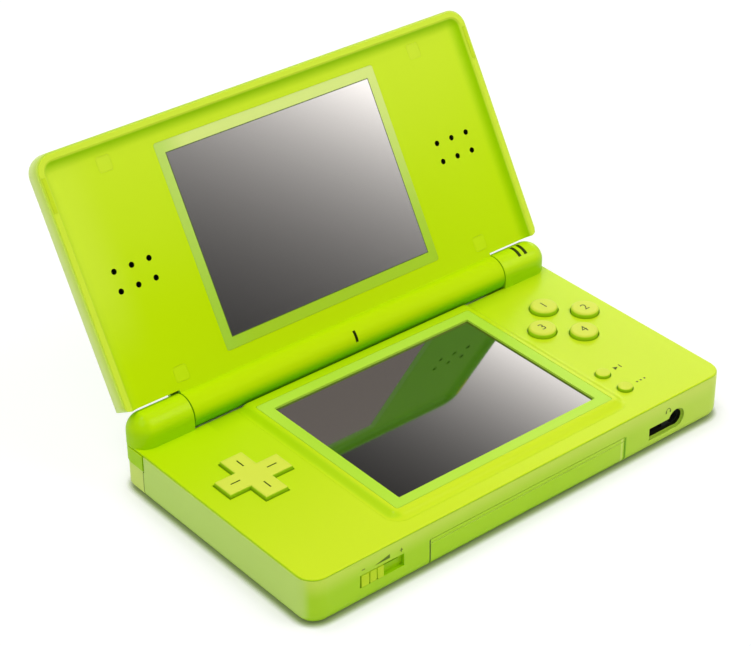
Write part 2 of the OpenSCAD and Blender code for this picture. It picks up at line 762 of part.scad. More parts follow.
module base_shell() {
    color(shell_green) {
        difference() {
            case_solid(0, 0, shell_h, bottom_edge_r);
            case_solid(wall_t, floor_t, far, inner_edge_r);
            // hinge trough
            block([-knuckle_x, inner_back - 1, shelf_z], [knuckle_x, far, far]);
            // slot, card slot, charging socket, audio socket
            block([-slot_half, -far, slot_z], [slot_half, inner_front + 1, slot_top]);
            block([-card_half, 0, card_z], [card_half, far, card_z + card_h]);
            block([charge_x + charge_t - 0.2, 0, charge_z - 0.2],
                [charge_x + charge_w - charge_t + 0.2, far, charge_z + charge_h + 0.2]);
            keyhole(-far, -body_d / 2 + jack_ledge_deep, 0);
            keyhole(-far, inner_front + 1, -jack_ledge);
            // volume slot with its way through
            block([-volume_x, -far, volume_z],
                [-volume_x + volume_len, -body_d / 2 + volume_deep, volume_top]);
            block([-volume_x + slit_in, -far, volume_top - 0.2 - slit_h],
                [-volume_x + volume_len - 1.2, 0, volume_top - 0.2]);
            // power knob's way and stylus bore
            block([0, power_y - power_len / 2 - power_travel, power_z - power_h / 2 - 0.3],
                [far, power_y + power_len / 2 + power_travel, power_z + power_h / 2 + 0.3]);
            rod_x(body_w / 2 - 4, far, stylus_y, stylus_z, stylus_bore_r);
            // shoulder buttons
            both_sides() translate([0, 0, shoulder_z - shoulder_gap])
                linear_extrude(far) shoulder_strip(-1, wall_t + 2, shoulder_gap);
            // corners set in below the shoulder buttons
            both_sides() translate([0, 0, -1])
                linear_extrude(shoulder_z + 1) shoulder_strip(-1, 1 + corner_step, 0);
            // strap holes
            for (x = [0, strap_w + strap_bar])
                block([-body_w / 2 + strap_side + x, inner_back - 1, 3],
                    [-body_w / 2 + strap_side + strap_w + x, far, 6]);
            // battery door
            battery_door(battery_gap, -1, floor_t + 1);
            for (p = screws_at) post(p[0], p[1], screw_head_r + head_clear, -1, screw_seat);
            post(battery_screw[0], battery_screw[1], screw_head_r + head_clear, -1, floor_t + 1);
        }
        // screw bosses
        for (p = screws_at)
            difference() {
                post(p[0], p[1], boss_r, floor_t - 0.2, board_z);
                post(p[0], p[1], screw_head_r + head_clear, -1, screw_seat);
                post(p[0], p[1], screw_r + shank_clear, 0, board_z + 1);
            }
        // walls of the slot's bay
        both_sides() block([slot_half, inner_front - 0.2, floor_t - 0.2],
            [slot_half + bay_wall_t, connector_y, board_z]);
        // walls round the battery
        battery_walls();
        // bosses of the shoulder pins
        both_sides() difference() {
            post(shoulder_pin[0], shoulder_pin[1], pin_boss_r, floor_t - 0.2, shoulder_z - 1);
            post(shoulder_pin[0], shoulder_pin[1], shoulder_pin_r + seat_clear, pin_low, far);
        }
    }
}

// The outline of the battery door, cut through the floor
module battery_door(grow, z0, z1) {
    translate([battery_mid[0], battery_mid[1], z0]) linear_extrude(z1 - z0)
        round_rect(battery_len - 2 * battery_lip + 2 * grow,
            battery_wide - 2 * battery_lip + 2 * grow, 2 + grow);
    translate([battery_screw[0], battery_screw[1], z0]) {
        cylinder(h = z1 - z0, r = cover_tab_r + grow);
        translate([-cover_tab_r - grow, -2 * cover_tab_r, 0])
            cube([2 * (cover_tab_r + grow), 2 * cover_tab_r, z1 - z0]);
    }
}

module battery_walls() {
    x0 = -battery_x;
    x1 = battery_right;
    y0 = battery_y - 0.2;
    y1 = battery_y + battery_wide + 0.2;
    z0 = floor_t - 0.1;
    z1 = battery_wall_top;
    block([x0 - 0.8, y0 - battery_wall, z0], [x1 + 0.6, y0, z1]);
    block([x1 - 18, y1, z0], [x1 - 9, y1 + battery_wall, z1]);
    block([x0 + 6, y1, z0], [x0 + 16, y1 + battery_wall, z1]);
}

// The half disc over a block that makes each knuckle, ending in a dome
module knuckle_solid() {
    r = barrel_r;
    translate([knuckle_x, hinge_y, 0]) rotate([90, 0, 90]) linear_extrude(knuckle_end - knuckle_x) {
        translate([-r, shell_h + seam_gap]) square([2 * r, hinge_z - shell_h - seam_gap]);
        intersection() {
            translate([0, hinge_z]) circle(r);
            translate([-r, hinge_z]) square([2 * r, r]);
        }
    }
    translate([knuckle_end, hinge_y, 0]) rotate([0, 0, -90]) rotate_extrude(angle = 180) {
        translate([0, shell_h + seam_gap]) square([r, hinge_z - shell_h - seam_gap]);
        intersection() {
            translate([0, hinge_z]) circle(r);
            translate([0, hinge_z]) square(r);
        }
    }
}

module pad_cross(grow) {
    square([pad_len + 2 * grow, pad_bar + 2 * grow], center = true);
    square([pad_bar + 2 * grow, pad_len + 2 * grow], center = true);
}

module deck() {
    cap_r = corner_r - deck_inset;
    cap_w = body_w - 2 * deck_inset;
    cap_d = body_d - 2 * deck_inset;
    edge_r = corner_r - wall_t - plug_gap;
    plug_w = body_w - 2 * (wall_t + plug_gap);
    plug_d = body_d - 2 * (wall_t + plug_gap);
    color(body_green) difference() {
        union() {
            // rim over the shell's wall
            run_round(cap_w, -cap_d / 2, cap_d / 2, cap_r) difference() {
                high_round(cap_r, shell_h, deck_z, deck_edge_r);
                translate([cap_r - seam_deep, shell_h - 1]) square([2, 1 + seam_gap]);
            }
            block([-cap_w / 2 + cap_r, -cap_d / 2 + cap_r, deck_low],
                [cap_w / 2 - cap_r, cap_d / 2 - cap_r, deck_z]);
            plate(plug_w, plug_d, edge_r, deck_low, shell_h + 0.1);
            // surround of the lower screen, no further out than the deck
            intersection() {
                screen_surround();
                plate(cap_w, cap_d, cap_r, 0, far);
            }
            both_sides() knuckle_solid();
            // screw posts
            for (p = screws_at) post(p[0], p[1], boss_r - 0.3, board_top, deck_low + 0.2);
            // hinge trough
            hinge_trough();
        }
        for (p = screws_at) post(p[0], p[1], screw_r + seat_clear, 0, deck_low + 0.6);
        trough_space();
        // screen opening and the frame's seat
        plate(display_w + 2 * display_gap, display_h + 2 * display_gap, 0.6, 0, far, screen_y);
        plate(frame_w + 2 * frame_gap, frame_d + 2 * frame_gap, 0.7, glass_z, far, frame_y);
        // controls
        translate([-pad_x, pad_y, 0]) linear_extrude(far) pad_cross(pad_gap);
        for (b = button_places)
            post(buttons_x + b[0], buttons_y + b[1], button_d / 2 + button_gap, 0, far);
        for (i = [0, 1])
            post(small_x, start_y - i * small_pitch, small_d / 2 + button_gap, 0, far);
        // shoulder buttons' room under the rim
        both_sides() linear_extrude(shell_h + seam_gap)
            shoulder_strip(-1, wall_t + 1 + shoulder_room, shoulder_room);
        // light pipes
        for (x = light_x) pipe_ring(x, pipe_w + 2 * seat_clear, barrel_r + 1);
        // hinge shaft and bush, with the way of the ribbon cable
        rod_x(knuckle_x - 1, knuckle_x + shaft_seat, hinge_y, hinge_z, hinge_pin_r + seat_clear);
        rod_x(-knuckle_x - bush_seat, -knuckle_x + 1, hinge_y, hinge_z, bush_r + seat_clear);
        rod_x(-knuckle_x - bush_seat - cable_room, -knuckle_x, hinge_y, hinge_z, bush_bore_r);
        post(-knuckle_x - bush_seat, hinge_y, bush_bore_r, 0, hinge_z);
    }
}

// A bent strip in the right knuckle's skin, from its front over its top
module pipe_ring(x, w, r) {
    low = barrel_r - pipe_deep;
    translate([x - w / 2, hinge_y, hinge_z]) rotate([0, 90, 0]) rotate([0, 0, 180 - pipe_back])
        rotate_extrude(angle = pipe_turn) translate([low, 0]) square([r - low, w]);
}

module screen_surround() {
    front = frame_y - frame_d / 2 - surround_rim - surround_slope;
    back = hinge_y - sqrt(trough_r * trough_r - pow(hinge_z - surround_z, 2)) - 0.1;
    run_r = surround_r + surround_slope;
    w = 2 * surround_half;
    mirror([0, 1, 0]) run_round(w, -back, -front, run_r, false) slope_profile();
    block([-w / 2 + run_r, front + run_r, deck_z - 0.3], [w / 2 - run_r, back, surround_z]);
}

// The space that the barrel and the opening lid need
module trough_space() {
    rod_x(-knuckle_x, knuckle_x, hinge_y, hinge_z, trough_r);
    block([-knuckle_x, hinge_y, shelf_z], [knuckle_x, far, far]);
    block([-knuckle_x, hinge_y - trough_r, hinge_z], [knuckle_x, far, far]);
}

module hinge_trough() {
    out = trough_r + trough_t;
    intersection() {
        rod_x(-knuckle_x - 1, knuckle_x + 1, hinge_y, hinge_z, out);
        block([-far, hinge_y - out, shelf_z - trough_t], [far, hinge_y, deck_low + 0.5]);
    }
    block([-knuckle_x - 1, hinge_y - 0.5, shelf_z - trough_t],
        [knuckle_x + 1, inner_back - plug_gap, shelf_z + 0.1]);
}

// Lower screen

module touch_frame() {
    color(frame_green) difference() {
        plate(frame_w, frame_d, 0.6, glass_z, surround_z, frame_y);
        plate(view_w, view_h, 0.2, 0, far, screen_y);
    }
}

module touch_panel() {
    color([0.55, 0.55, 0.56]) plate(display_w, display_h, 0.4, seat_z, glass_z, screen_y);
}

module lower_display() {
    color([0.35, 0.36, 0.38]) plate(display_w, display_h, 0.4, board_top, seat_z, screen_y);
}

// Pieces inside the lower case

module main_board() {
    half = body_w / 2 - wall_t - board_gap;
    y0 = inner_front + 0.5;
    y1 = inner_back - board_back;
    color([0.10, 0.38, 0.22]) difference() {
        union() {
            plate(2 * half, y1 - y0, 3, board_z, board_top, (y0 + y1) / 2);
            block([2 - shoulder_in, y1 - 9, board_z], [shoulder_in - 2, inner_back - 0.3, board_top]);
        }
        for (p = screws_at) post(p[0], p[1], screw_r + shank_clear, 0, far);
    }
}

module battery() {
    color([0.85, 0.85, 0.86])
        translate([battery_mid[0], battery_mid[1], floor_t + 0.1])
            linear_extrude(battery_t) round_rect(battery_len - 0.2, battery_wide - 0.2, 1.5);
}

module battery_cover() {
    color(shell_green) difference() {
        battery_door(0, 0, floor_t);
        post(battery_screw[0], battery_screw[1], screw_r + 0.1, -1, far);
        post(battery_screw[0], battery_screw[1], screw_head_r + 0.1, -1, 0.6);
    }
}

// A screw standing head down, with its slotted head at height z
module screw(x, y, z, top, head_h) {
    difference() {
        union() {
            post(x, y, screw_head_r, z - head_h, z);
            post(x, y, screw_r, z, top);
        }
        block([x - 1.1, y - 0.2, z - head_h - 1], [x + 1.1, y + 0.2, z - head_h + 0.3]);
        block([x - 0.2, y - 1.1, z - head_h - 1], [x + 0.2, y + 1.1, z - head_h + 0.3]);
    }
}

module battery_cover_screw() {
    color([0.7, 0.7, 0.72]) screw(battery_screw[0], battery_screw[1], 0.6, floor_t + 1.2, 0.5);
}

module case_screws() {
    color([0.7, 0.7, 0.72])
        for (p = screws_at) screw(p[0], p[1], screw_seat, deck_low, screw_head_h);
}

module slot_connector() {
    half = slot_half - 0.6;
    y0 = connector_y;
    first = -(contacts - 1) / 2 * contact_pitch;
    color([0.15, 0.15, 0.16]) difference() {
        block([-half, y0, floor_t], [half, y0 + connector_d, board_z]);
        block([3.4 - half, y0 - 1, 3.4], [half - 3.4, y0 + connector_d - 1.5, 5.6]);
    }
    color([0.8, 0.65, 0.3]) for (i = [0:contacts - 1]) {
        x = first + i * contact_pitch;
        block([x - 0.6, y0 + 0.4, 3.4], [x + 0.6, y0 + connector_d - 1.5, 3.7]);
    }
}

module card_slot_housing() {
    color([0.55, 0.56, 0.58]) difference() {
        block([-card_out, inner_back - card_deep - card_end_t, card_z - card_t],
            [card_out, inner_back, board_z]);
        block([-card_half, inner_back - card_deep, card_z], [card_half, far, card_z + card_h]);
    }
}

module charge_socket() {
    x1 = charge_x + charge_w;
    color([0.2, 0.2, 0.21]) difference() {
        block([charge_x, inner_back - charge_deep, charge_z - charge_t], [x1, inner_back, board_z]);
        block([charge_x + charge_t, inner_back - charge_deep + 2, charge_z],
            [x1 - charge_t, far, charge_z + charge_h]);
    }
}

module audio_jack() {
    low = jack_low + jack_ledge;
    color([0.16, 0.17, 0.16]) difference() {
        block([jack_left - 1.2, inner_front, jack_low - 0.9],
            [jack_x + jack_end, inner_front + jack_deep, board_z]);
        block([jack_left + 1, -far, low + 0.15],
            [jack_left + 0.63 * jack_len, inner_front + jack_deep / 2, low + jack_h - 2 * jack_ledge - 0.15]);
        rod_y(jack_x, -far, inner_front + jack_deep - 2, jack_z - 0.2, plug_r);
    }
}

module volume_slider() {
    x0 = -volume_x;
    x1 = x0 + volume_len;
    color([0.2, 0.2, 0.21]) difference() {
        block([x0 - 0.6, inner_front + 0.3, volume_z - 0.8],
            [x1 + 0.6, inner_front + slider_deep, board_z]);
        block([x0 + 1.2, -far, volume_top - slit_h - 0.3],
            [x1 - 1, inner_front + slider_deep - 1.5, volume_top - 0.1]);
    }
}

module power_switch() {
    x0 = body_w / 2 - wall_t - 4.5;
    color([0.2, 0.2, 0.21]) difference() {
        block([x0, power_y - 6, power_z - 2], [x0 + 3.3, power_y + 6, board_z]);
        block([x0 + 1.1, power_y - 4, power_z - 1.1], [far, power_y + 4, power_z + 1.1]);
    }
}

module wireless_module() {
    low = [screw_mid_x + boss_r + 0.7, inner_front + radio_front, board_z - radio_t];
    high = [body_w / 2 - radio_side, inner_front + radio_front + radio_d, board_z];
    color([0.75, 0.76, 0.78]) difference() {
        block(low, high);
        block(low + [2, 2, -1], high - [2, 2, 0.3]);
    }
}

module stylus_holder() {
    x1 = body_w / 2 - wall_t;
    x0 = battery_right + stylus_in - 1.5;
    low_z = stylus_z - stylus_bore_r - 0.1;
    color([0.78, 0.86, 0.5]) difference() {
        union() {
            rod_x(x0, x1, stylus_y, stylus_z, stylus_bore_r + stylus_tube_t);
            for (x = [x0 + 4, x1 - 7])
                block([x, stylus_y - 0.6, floor_t], [x + 3, stylus_y + 0.6, low_z]);
        }
        rod_x(x0 + 0.8, far, stylus_y, stylus_z, stylus_bore_r);
    }
}

// Rubber domes on the board, drawn at the height of a pressed button
module contact_domes() {
    dome_h = flange_top - flange_t - press_travel - dome_gap - board_top;
    color([0.5, 0.5, 0.52]) {
        for (b = button_places)
            translate([buttons_x + b[0], buttons_y + b[1], board_top])
                cylinder(h = dome_h, r1 = dome_r, r2 = dome_r - 1);
        for (i = [0, 1])
            translate([small_x, start_y - i * small_pitch, board_top])
                cylinder(h = dome_h, r1 = small_dome_r, r2 = small_dome_r - 0.5);
        for (a = [0:90:270])
            translate([-pad_x, pad_y, board_top]) rotate([0, 0, a]) translate([pad_dome_at, 0, 0])
                cylinder(h = pad_dome_h, r1 = pad_dome_r, r2 = pad_dome_r - 0.5);
    }
}

module light_pipes() {
    color([0.35, 0.45, 0.15]) for (x = light_x) pipe_ring(x, pipe_w, barrel_r - 0.03);
}

module shoulder_pins() {
    color([0.7, 0.7, 0.72]) both_sides()
        post(shoulder_pin[0], shoulder_pin[1], shoulder_pin_r, pin_low, shoulder_top - 0.9);
}

module shoulder_springs() {
    z0 = shoulder_z - 1;
    color([0.6, 0.6, 0.62]) both_sides() difference() {
        post(shoulder_pin[0], shoulder_pin[1], spring_r, z0, z0 + spring_h);
        post(shoulder_pin[0], shoulder_pin[1], shoulder_pin_r + 0.15, 0, far);
    }
}

// A small switch with its plunger, in front of each shoulder button
module shoulder_switches() {
    x = shoulder_in + switch_in;
    y = inner_back - switch_back;
    color([0.25, 0.25, 0.26]) both_sides() {
        block([x - switch_w / 2, y - switch_d, board_top], [x + switch_w / 2, y, board_top + switch_h]);
        block([x - 0.6, y, board_top + 0.4], [x + 0.6, y + 0.5, board_top + 1]);
    }
}

module hinge_shaft() {
    color([0.72, 0.72, 0.74]) rod_x(barrel_half - sleeve_len + 0.8 + 0.2,
        knuckle_x + shaft_seat - end_gap, hinge_y, hinge_z, hinge_pin_r);
}

module hinge_bush() {
    color([0.4, 0.42, 0.44]) difference() {
        rod_x(-knuckle_x - bush_seat + end_gap, -barrel_half + bush_len, hinge_y, hinge_z, bush_r);
        rod_x(-far, far, hinge_y, hinge_z, bush_bore_r);
    }
}

// Controls

module direction_pad() {
    top = deck_z + pad_rise;
    stem_low = pad_low + flange_t;
    post_low = board_top + pad_post_gap;
    color(button_green) translate([-pad_x, pad_y, 0]) {
        difference() {
            union() {
                translate([0, 0, stem_low]) linear_extrude(top - stem_low - pad_edge_r) pad_cross(0);
                for (a = [0, 90]) rotate([0, 0, a]) pad_bar_top(top);
            }
            // lines on the four arms
            for (a = [0:90:270]) rotate([0, 0, a])
                block([-pad_line_w / 2, pad_line_from, top - pad_line_deep],
                    [pad_line_w / 2, pad_line_from + pad_line_len, far]);
        }
        translate([0, 0, pad_low]) cylinder(h = flange_t, r = pad_flange_r);
        translate([0, 0, post_low]) cylinder(h = pad_low - post_low, r = pad_post_r);
    }
}

// The rounded top of one bar of the cross
module pad_bar_top(top) {
    e = pad_edge_r;
    w = pad_len;
    d = pad_bar;
    translate([0, 0, top - e]) {
        translate([-w / 2 + e, -d / 2, 0]) rotate([90, 0, 90]) linear_extrude(w - 2 * e)
            bar_section(d, e);
        translate([-w / 2, -d / 2 + e, 0]) cube([w, d - 2 * e, 0.01]);
    }
    intersection() {
        translate([-w / 2, -d / 2, top - e]) rotate([90, 0, 90]) linear_extrude(w) bar_section(d, e);
        translate([-w / 2, d / 2, top - e]) rotate([90, 0, 0]) linear_extrude(d) bar_section(w, e);
    }
}

// Section of a bar's rounded top, as wide as w, from height 0 to e
module bar_section(w, e) {
    translate([e, 0]) square([w - 2 * e, e]);
    for (x = [e, w - e]) intersection() {
        translate([x, 0]) circle(e);
        translate([x - e, 0]) square([2 * e, e]);
    }
}

// A round button with a flange under the deck and a rounded top edge
module round_button(x, y, d, rise, e, flange) {
    r = d / 2;
    top = deck_z + rise;
    low = flange_top - flange_t;
    translate([x, y, 0]) rotate_extrude() {
        translate([0, low]) square([r + flange, flange_t]);
        translate([0, low]) square([r, top - e - low]);
        translate([0, top - e]) square([r - e, e]);
        intersection() {
            translate([r - e, top - e]) circle(e);
            translate([r - e, top - e]) square(e);
        }
    }
}

module face_button(i) {
    color(button_green) round_button(buttons_x + button_places[i][0],
        buttons_y + button_places[i][1], button_d, button_rise, button_edge_r, button_flange);
}

module button_back() { face_button(0); }
module button_right() { face_button(1); }
module button_left() { face_button(2); }
module button_front() { face_button(3); }

module small_button(y) {
    color(button_green)
        round_button(small_x, y, small_d, small_rise, small_edge_r, small_flange);
}

module start_button() { small_button(start_y); }
module select_button() { small_button(start_y - small_pitch); }

module shoulder_right() {
    color(shell_green) difference() {
        union() {
            translate([0, 0, shoulder_z]) linear_extrude(shoulder_top - shoulder_z)
                shoulder_strip(0, shoulder_t, 0);
            block([shoulder_in, shoulder_pin[1] - 1.4, shoulder_z + 0.1],
                [shoulder_pin[0] + 1.9, body_d / 2 - shoulder_t + 0.2, deck_low - 0.4]);
        }
        post(shoulder_pin[0], shoulder_pin[1], shoulder_pin_r + turn_clear, 0, far);
    }
}

module shoulder_left() { mirror([1, 0, 0]) shoulder_right(); }

module volume_knob() {
    face = -body_d / 2;
    x0 = -volume_x + 2 * volume_gap;
    front = face - 0.15;
    color(button_green) difference() {
        union() {
            block([x0, front, volume_z + volume_gap],
                [x0 + volume_knob_len, face + volume_deep - 0.2, volume_top - volume_gap]);
            block([x0 + slit_in, face + 0.5, volume_top - slit_h - 0.1],
                [x0 + 4, inner_front + 2.7, volume_top - 0.3]);
        }
        // finger lines
        for (share = [0.36, 0.7]) {
            x = x0 + share * volume_knob_len;
            block([x - 0.2, front - 1, 0], [x + 0.2, front + 0.4, far]);
        }
    }
}

module power_knob() {
    side = body_w / 2 - wall_t;
    color(button_green) {
        block([side - 0.8, power_y - power_len / 2, power_z - power_h / 2],
            [body_w / 2 + 0.5, power_y + power_len / 2, power_z + power_h / 2]);
        block([side - 3, power_y - 1, power_z - 0.7], [side - 0.7, power_y + 1, power_z + 0.7]);
    }
}

module stylus() {
    x0 = battery_right + stylus_in + 0.3;
    x1 = body_w / 2 - 0.2;
    taper_x = x0 + tip_r + taper_len;
    color([0.9, 0.92, 0.85]) {
        rod_x(taper_x, x1, stylus_y, stylus_z, stylus_r);
        translate([taper_x, stylus_y, stylus_z]) rotate([0, -90, 0])
            cylinder(h = taper_len, r1 = stylus_r, r2 = tip_r);
        translate([x0 + tip_r, stylus_y, stylus_z]) sphere(tip_r);
    }
}

module slot_cover() {
    y0 = -body_d / 2;
    color(shell_green) difference() {
        intersection() {
            block([-cover_half, y0, cover_z], [cover_half, y0 + cover_len, cover_top]);
            case_solid(0, 0, shell_h, bottom_edge_r);
        }
        block([-cover_half + cover_t, y0 + 2, cover_z + cover_t],
            [cover_half - cover_t, y0 + far, cover_top - cover_t]);
        block([-far, y0 - 1, cover_ledge], [far, y0 + ledge_deep, cover_ledge + ledge_h]);
    }
}

// Lid, drawn closed side up in its own place: y runs from the hinge axis to
// the far edge, z runs from the outer face to the rim

module in_lid() {
    translate([0, hinge_y, hinge_z]) rotate([180 - lid_open, 0, 0]) children();
}

module lid_outer(inset, z0, z1, e, near) {
    r = corner_r - inset;
    w = body_w - 2 * inset;
    run_round(w, near, lid_far - inset, r, false) low_round(r, z0, z1, e);
    block([-w / 2 + r, near, z0], [w / 2 - r, lid_far - inset - r, z1]);
}

module lid_shell() {
    color(shell_green) in_lid() {
        difference() {
            lid_outer(0, -lid_back, cap_low, lid_edge_r, lid_near);
            difference() {
                lid_outer(wall_t, lid_back_t - lid_back, far, lid_edge_r - 1.5, lid_near);
                both_sides() block([barrel_half, 0, -far], [far, lid_near + wall_t, far]);
            }
            // seat of the inner plate on the near walls
            both_sides() block([barrel_half, 0, bezel_low],
                [body_w / 2 - wall_t, lid_near + wall_t + 0.1, far]);
            heels();
        }
        hinge_web();
        for (p = lid_screws_at) difference() {
            post(p[0], p[1], lid_screw_r + 1.1, lid_back_t - lid_back - 0.1, bezel_low);
            post(p[0], p[1], lid_screw_r + seat_clear, lid_back_t - lid_back + 0.6, far);
        }
    }
}

// What rounds the lid's corners beside the knuckles
module heels() {
    both_sides() translate([body_w / 2 - heel_r, lid_near + heel_r, -far])
        linear_extrude(2 * far) difference() {
            translate([0, -heel_r - 1]) square(heel_r + 1);
            circle(heel_r);
        }
}

// The lid shell's curved lip towards the barrel
module hinge_web() {
    bend_r = 5;
    bend_y = 0.9;
    t = lid_back_t;
    translate([-barrel_half, 0, 0]) rotate([90, 0, 90]) linear_extrude(2 * barrel_half) difference() {
        union() {
            translate([bend_y, -lid_back]) square([lid_near - bend_y + 0.1, t]);
            intersection() {
                translate([bend_y, bend_r - lid_back]) circle(bend_r);
                translate([-1, -lid_back]) square([bend_y + 1, t]);
            }
        }
        circle(barrel_r + 0.05);
    }
}

module lid_bezel() {
    r = corner_r - rim_inset;
    w = body_w - 2 * rim_inset;
    color(body_green) in_lid() {
        difference() {
            union() {
                run_round(body_w, lid_near, lid_far, corner_r, false) rim_profile();
                block([-body_w / 2 + corner_r, lid_near, bezel_low],
                    [body_w / 2 - corner_r, lid_u, lid_floor]);
            }
            // window with the lens's seat
            plate(view_w + 2 * window_edge, view_h + 2 * window_edge, 0.6, -far, far, lens_mid);
            plate(lens_w + 2 * lens_gap, lens_h + 2 * lens_gap, 0.8, lens_recess, far, lens_mid);
            // speaker grilles
            for (s = [-1, 1], i = [-1:1], j = [-0.5, 0.5])
                post(s * speaker_x + i * speaker_pitch, speaker_y + j * speaker_pitch,
                    speaker_hole_r, -far, far);
            for (p = lid_screws_at) {
                post(p[0], p[1], lid_screw_r + shank_clear, -far, far);
                screw_cover(p, 0.05, far);
            }
            heels();
            both_sides() bumper_shape(0.05);
        }
        barrel();
    }
}

module barrel() {
    difference() {
        translate([-barrel_half, 0, 0]) rotate([90, 0, 90]) linear_extrude(2 * barrel_half) {
            circle(barrel_r);
            translate([0, bezel_low]) square([lid_near, bezel_t]);
        }
        rod_x(barrel_half - sleeve_len, far, 0, 0, sleeve_r + seat_clear);
        rod_x(-far, -barrel_half + bush_len + 0.3, 0, 0, bush_r + turn_clear);
        rod_x(-barrel_half + bush_len, barrel_half - sleeve_len - 2, 0, 0, bush_bore_r);
        // microphone slot and its room
        block([-0.28, -1.17, 0], [0.28, 1.5, far]);
        // way of the ribbon cable into the lid
        block([cable_x - 1, 0, -far], [cable_x + cable_w + 1, far, bezel_low - 0.6]);
    }
}

// Rubber pads let into the rim on both sides of the lid
module bumper_shape(grow) {
    x = body_w / 2 - rim_inset - rim_w / 2 - 0.05;
    top = grow > 0 ? far : lid_rim + bumper_rise;
    block([x - bumper_w / 2 - grow, bumper_near - grow, cap_low],
        [x + bumper_w / 2 + grow, bumper_near + bumper_len + grow, top]);
}

module lid_bumpers() {
    color([0.80, 0.88, 0.35]) in_lid() both_sides() bumper_shape(0);
}

module upper_lens() {
    color([0.6, 0.6, 0.62]) in_lid()
        plate(lens_w, lens_h, 0.75, lens_recess, lid_floor, lens_mid);
}

module upper_display() {
    color([0.35, 0.36, 0.38]) in_lid()
        plate(display_w, display_h, 0.4, bezel_low - upper_display_t, bezel_low, lens_mid);
}

// A round speaker: a magnet under a wide rim with a hollow cone
module speaker_unit(x) {
    color([0.3, 0.3, 0.32]) in_lid() translate([x, speaker_y, bezel_low]) difference() {
        union() {
            translate([0, 0, -1.2]) cylinder(h = 1.2, r = speaker_r);
            translate([0, 0, -3.2]) cylinder(h = 2.1, r = speaker_r - 2);
        }
        translate([0, 0, -0.7]) cylinder(h = 2, r = speaker_r - 0.8);
    }
}

module speaker_left() { speaker_unit(-speaker_x); }
module speaker_right() { speaker_unit(speaker_x); }

module lid_screws() {
    seat = lid_floor - screw_cover_t;
    color([0.7, 0.7, 0.72]) in_lid() for (p = lid_screws_at) {
        post(p[0], p[1], lid_head_r - 0.1, seat, seat + 0.2);
        post(p[0], p[1], lid_screw_r, lid_back_t - lid_back + 1, seat);
    }
}

// A square cover with round corners over a lid screw
module screw_cover(p, grow, top) {
    translate([p[0], p[1], lid_floor - screw_cover_t]) linear_extrude(top - lid_floor + screw_cover_t)
        round_rect(screw_cover_w + 2 * grow, screw_cover_w + 2 * grow, screw_cover_r + grow);
}

module lid_screw_covers() {
    color([0.80, 0.90, 0.25]) in_lid() for (p = lid_screws_at)
        difference() {
            screw_cover(p, 0, lid_floor);
            post(p[0], p[1], lid_head_r, 0, lid_floor - screw_cover_t + 0.2);
        }
}

module microphone() {
    color([0.1, 0.1, 0.1]) in_lid() rod_x(-2.5, 2.5, 0, 0, bush_bore_r - seat_clear);
}

module hinge_sleeve() {
    color([0.6, 0.6, 0.62]) in_lid() difference() {
        rod_x(barrel_half - sleeve_len, barrel_half, 0, 0, sleeve_r);
        rod_x(barrel_half - sleeve_len + 0.8, far, 0, 0, hinge_pin_r + turn_clear);
    }
}

// The flexible cable: flat in the lid, then rolled through the barrel
module ribbon_cable() {
    roll_x = cable_x + cable_strip_w;
    bend_y = 2.5;
    low = 0.4 - cable_drop;
    color([0.75, 0.45, 0.15]) in_lid() {
        block([cable_x, bend_y, low], [cable_x + cable_w, cable_reach, low + cable_t]);
        block([cable_x, bend_y, low], [roll_x, bend_y + 0.2, cable_t - cable_roll_r]);
        rod_x(roll_x - cable_roll_len, roll_x, 0, 0, cable_roll_r);
        block([cable_x, 0, -cable_roll_r], [roll_x, bend_y + 0.2, cable_t - cable_roll_r]);
    }
}

base_shell();
deck();
touch_frame();
touch_panel();
lower_display();
main_board();
battery();
battery_cover();
battery_cover_screw();
case_screws();
slot_connector();
card_slot_housing();
charge_socket();
audio_jack();
volume_slider();
power_switch();
wireless_module();
stylus_holder();
contact_domes();
light_pipes();
shoulder_pins();
shoulder_springs();
shoulder_switches();
hinge_shaft();
hinge_bush();
direction_pad();
button_back();
button_right();
button_left();
button_front();
start_button();
select_button();
shoulder_left();
shoulder_right();
volume_knob();
power_knob();
stylus();
slot_cover();
lid_shell();
lid_bezel();
upper_lens();
upper_display();
speaker_left();
speaker_right();
lid_screws();
lid_screw_covers();
lid_bumpers();
microphone();
hinge_sleeve();
ribbon_cable();
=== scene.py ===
# %% [markdown]
# A clamshell handheld game console, dressed for a studio picture.
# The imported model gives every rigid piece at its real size, in metres, with +X to the
# player's right, +Y to the hinge and +Z up. This lesson gives each piece its finish, adds
# the printed marks, and sets up the camera, the light and the floor.

# %% Load the frame
import bmesh
import bpy
import json
import math
from mathutils import Euler, Matrix, Vector


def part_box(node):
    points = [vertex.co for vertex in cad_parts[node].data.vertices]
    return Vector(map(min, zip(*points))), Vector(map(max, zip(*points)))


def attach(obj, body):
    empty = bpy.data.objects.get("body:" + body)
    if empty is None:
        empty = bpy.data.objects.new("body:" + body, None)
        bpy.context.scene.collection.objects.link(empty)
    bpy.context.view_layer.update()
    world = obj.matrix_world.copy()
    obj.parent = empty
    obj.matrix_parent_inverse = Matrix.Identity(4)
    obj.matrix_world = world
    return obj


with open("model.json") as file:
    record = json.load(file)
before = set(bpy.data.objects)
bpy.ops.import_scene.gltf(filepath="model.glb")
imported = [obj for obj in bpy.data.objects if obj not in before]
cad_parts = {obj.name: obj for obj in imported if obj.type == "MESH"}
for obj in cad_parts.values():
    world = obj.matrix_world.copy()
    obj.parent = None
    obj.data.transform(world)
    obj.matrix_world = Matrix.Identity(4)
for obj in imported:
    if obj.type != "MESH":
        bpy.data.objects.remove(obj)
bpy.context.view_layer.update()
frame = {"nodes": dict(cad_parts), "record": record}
MM = 0.001
NODES = frame["nodes"]


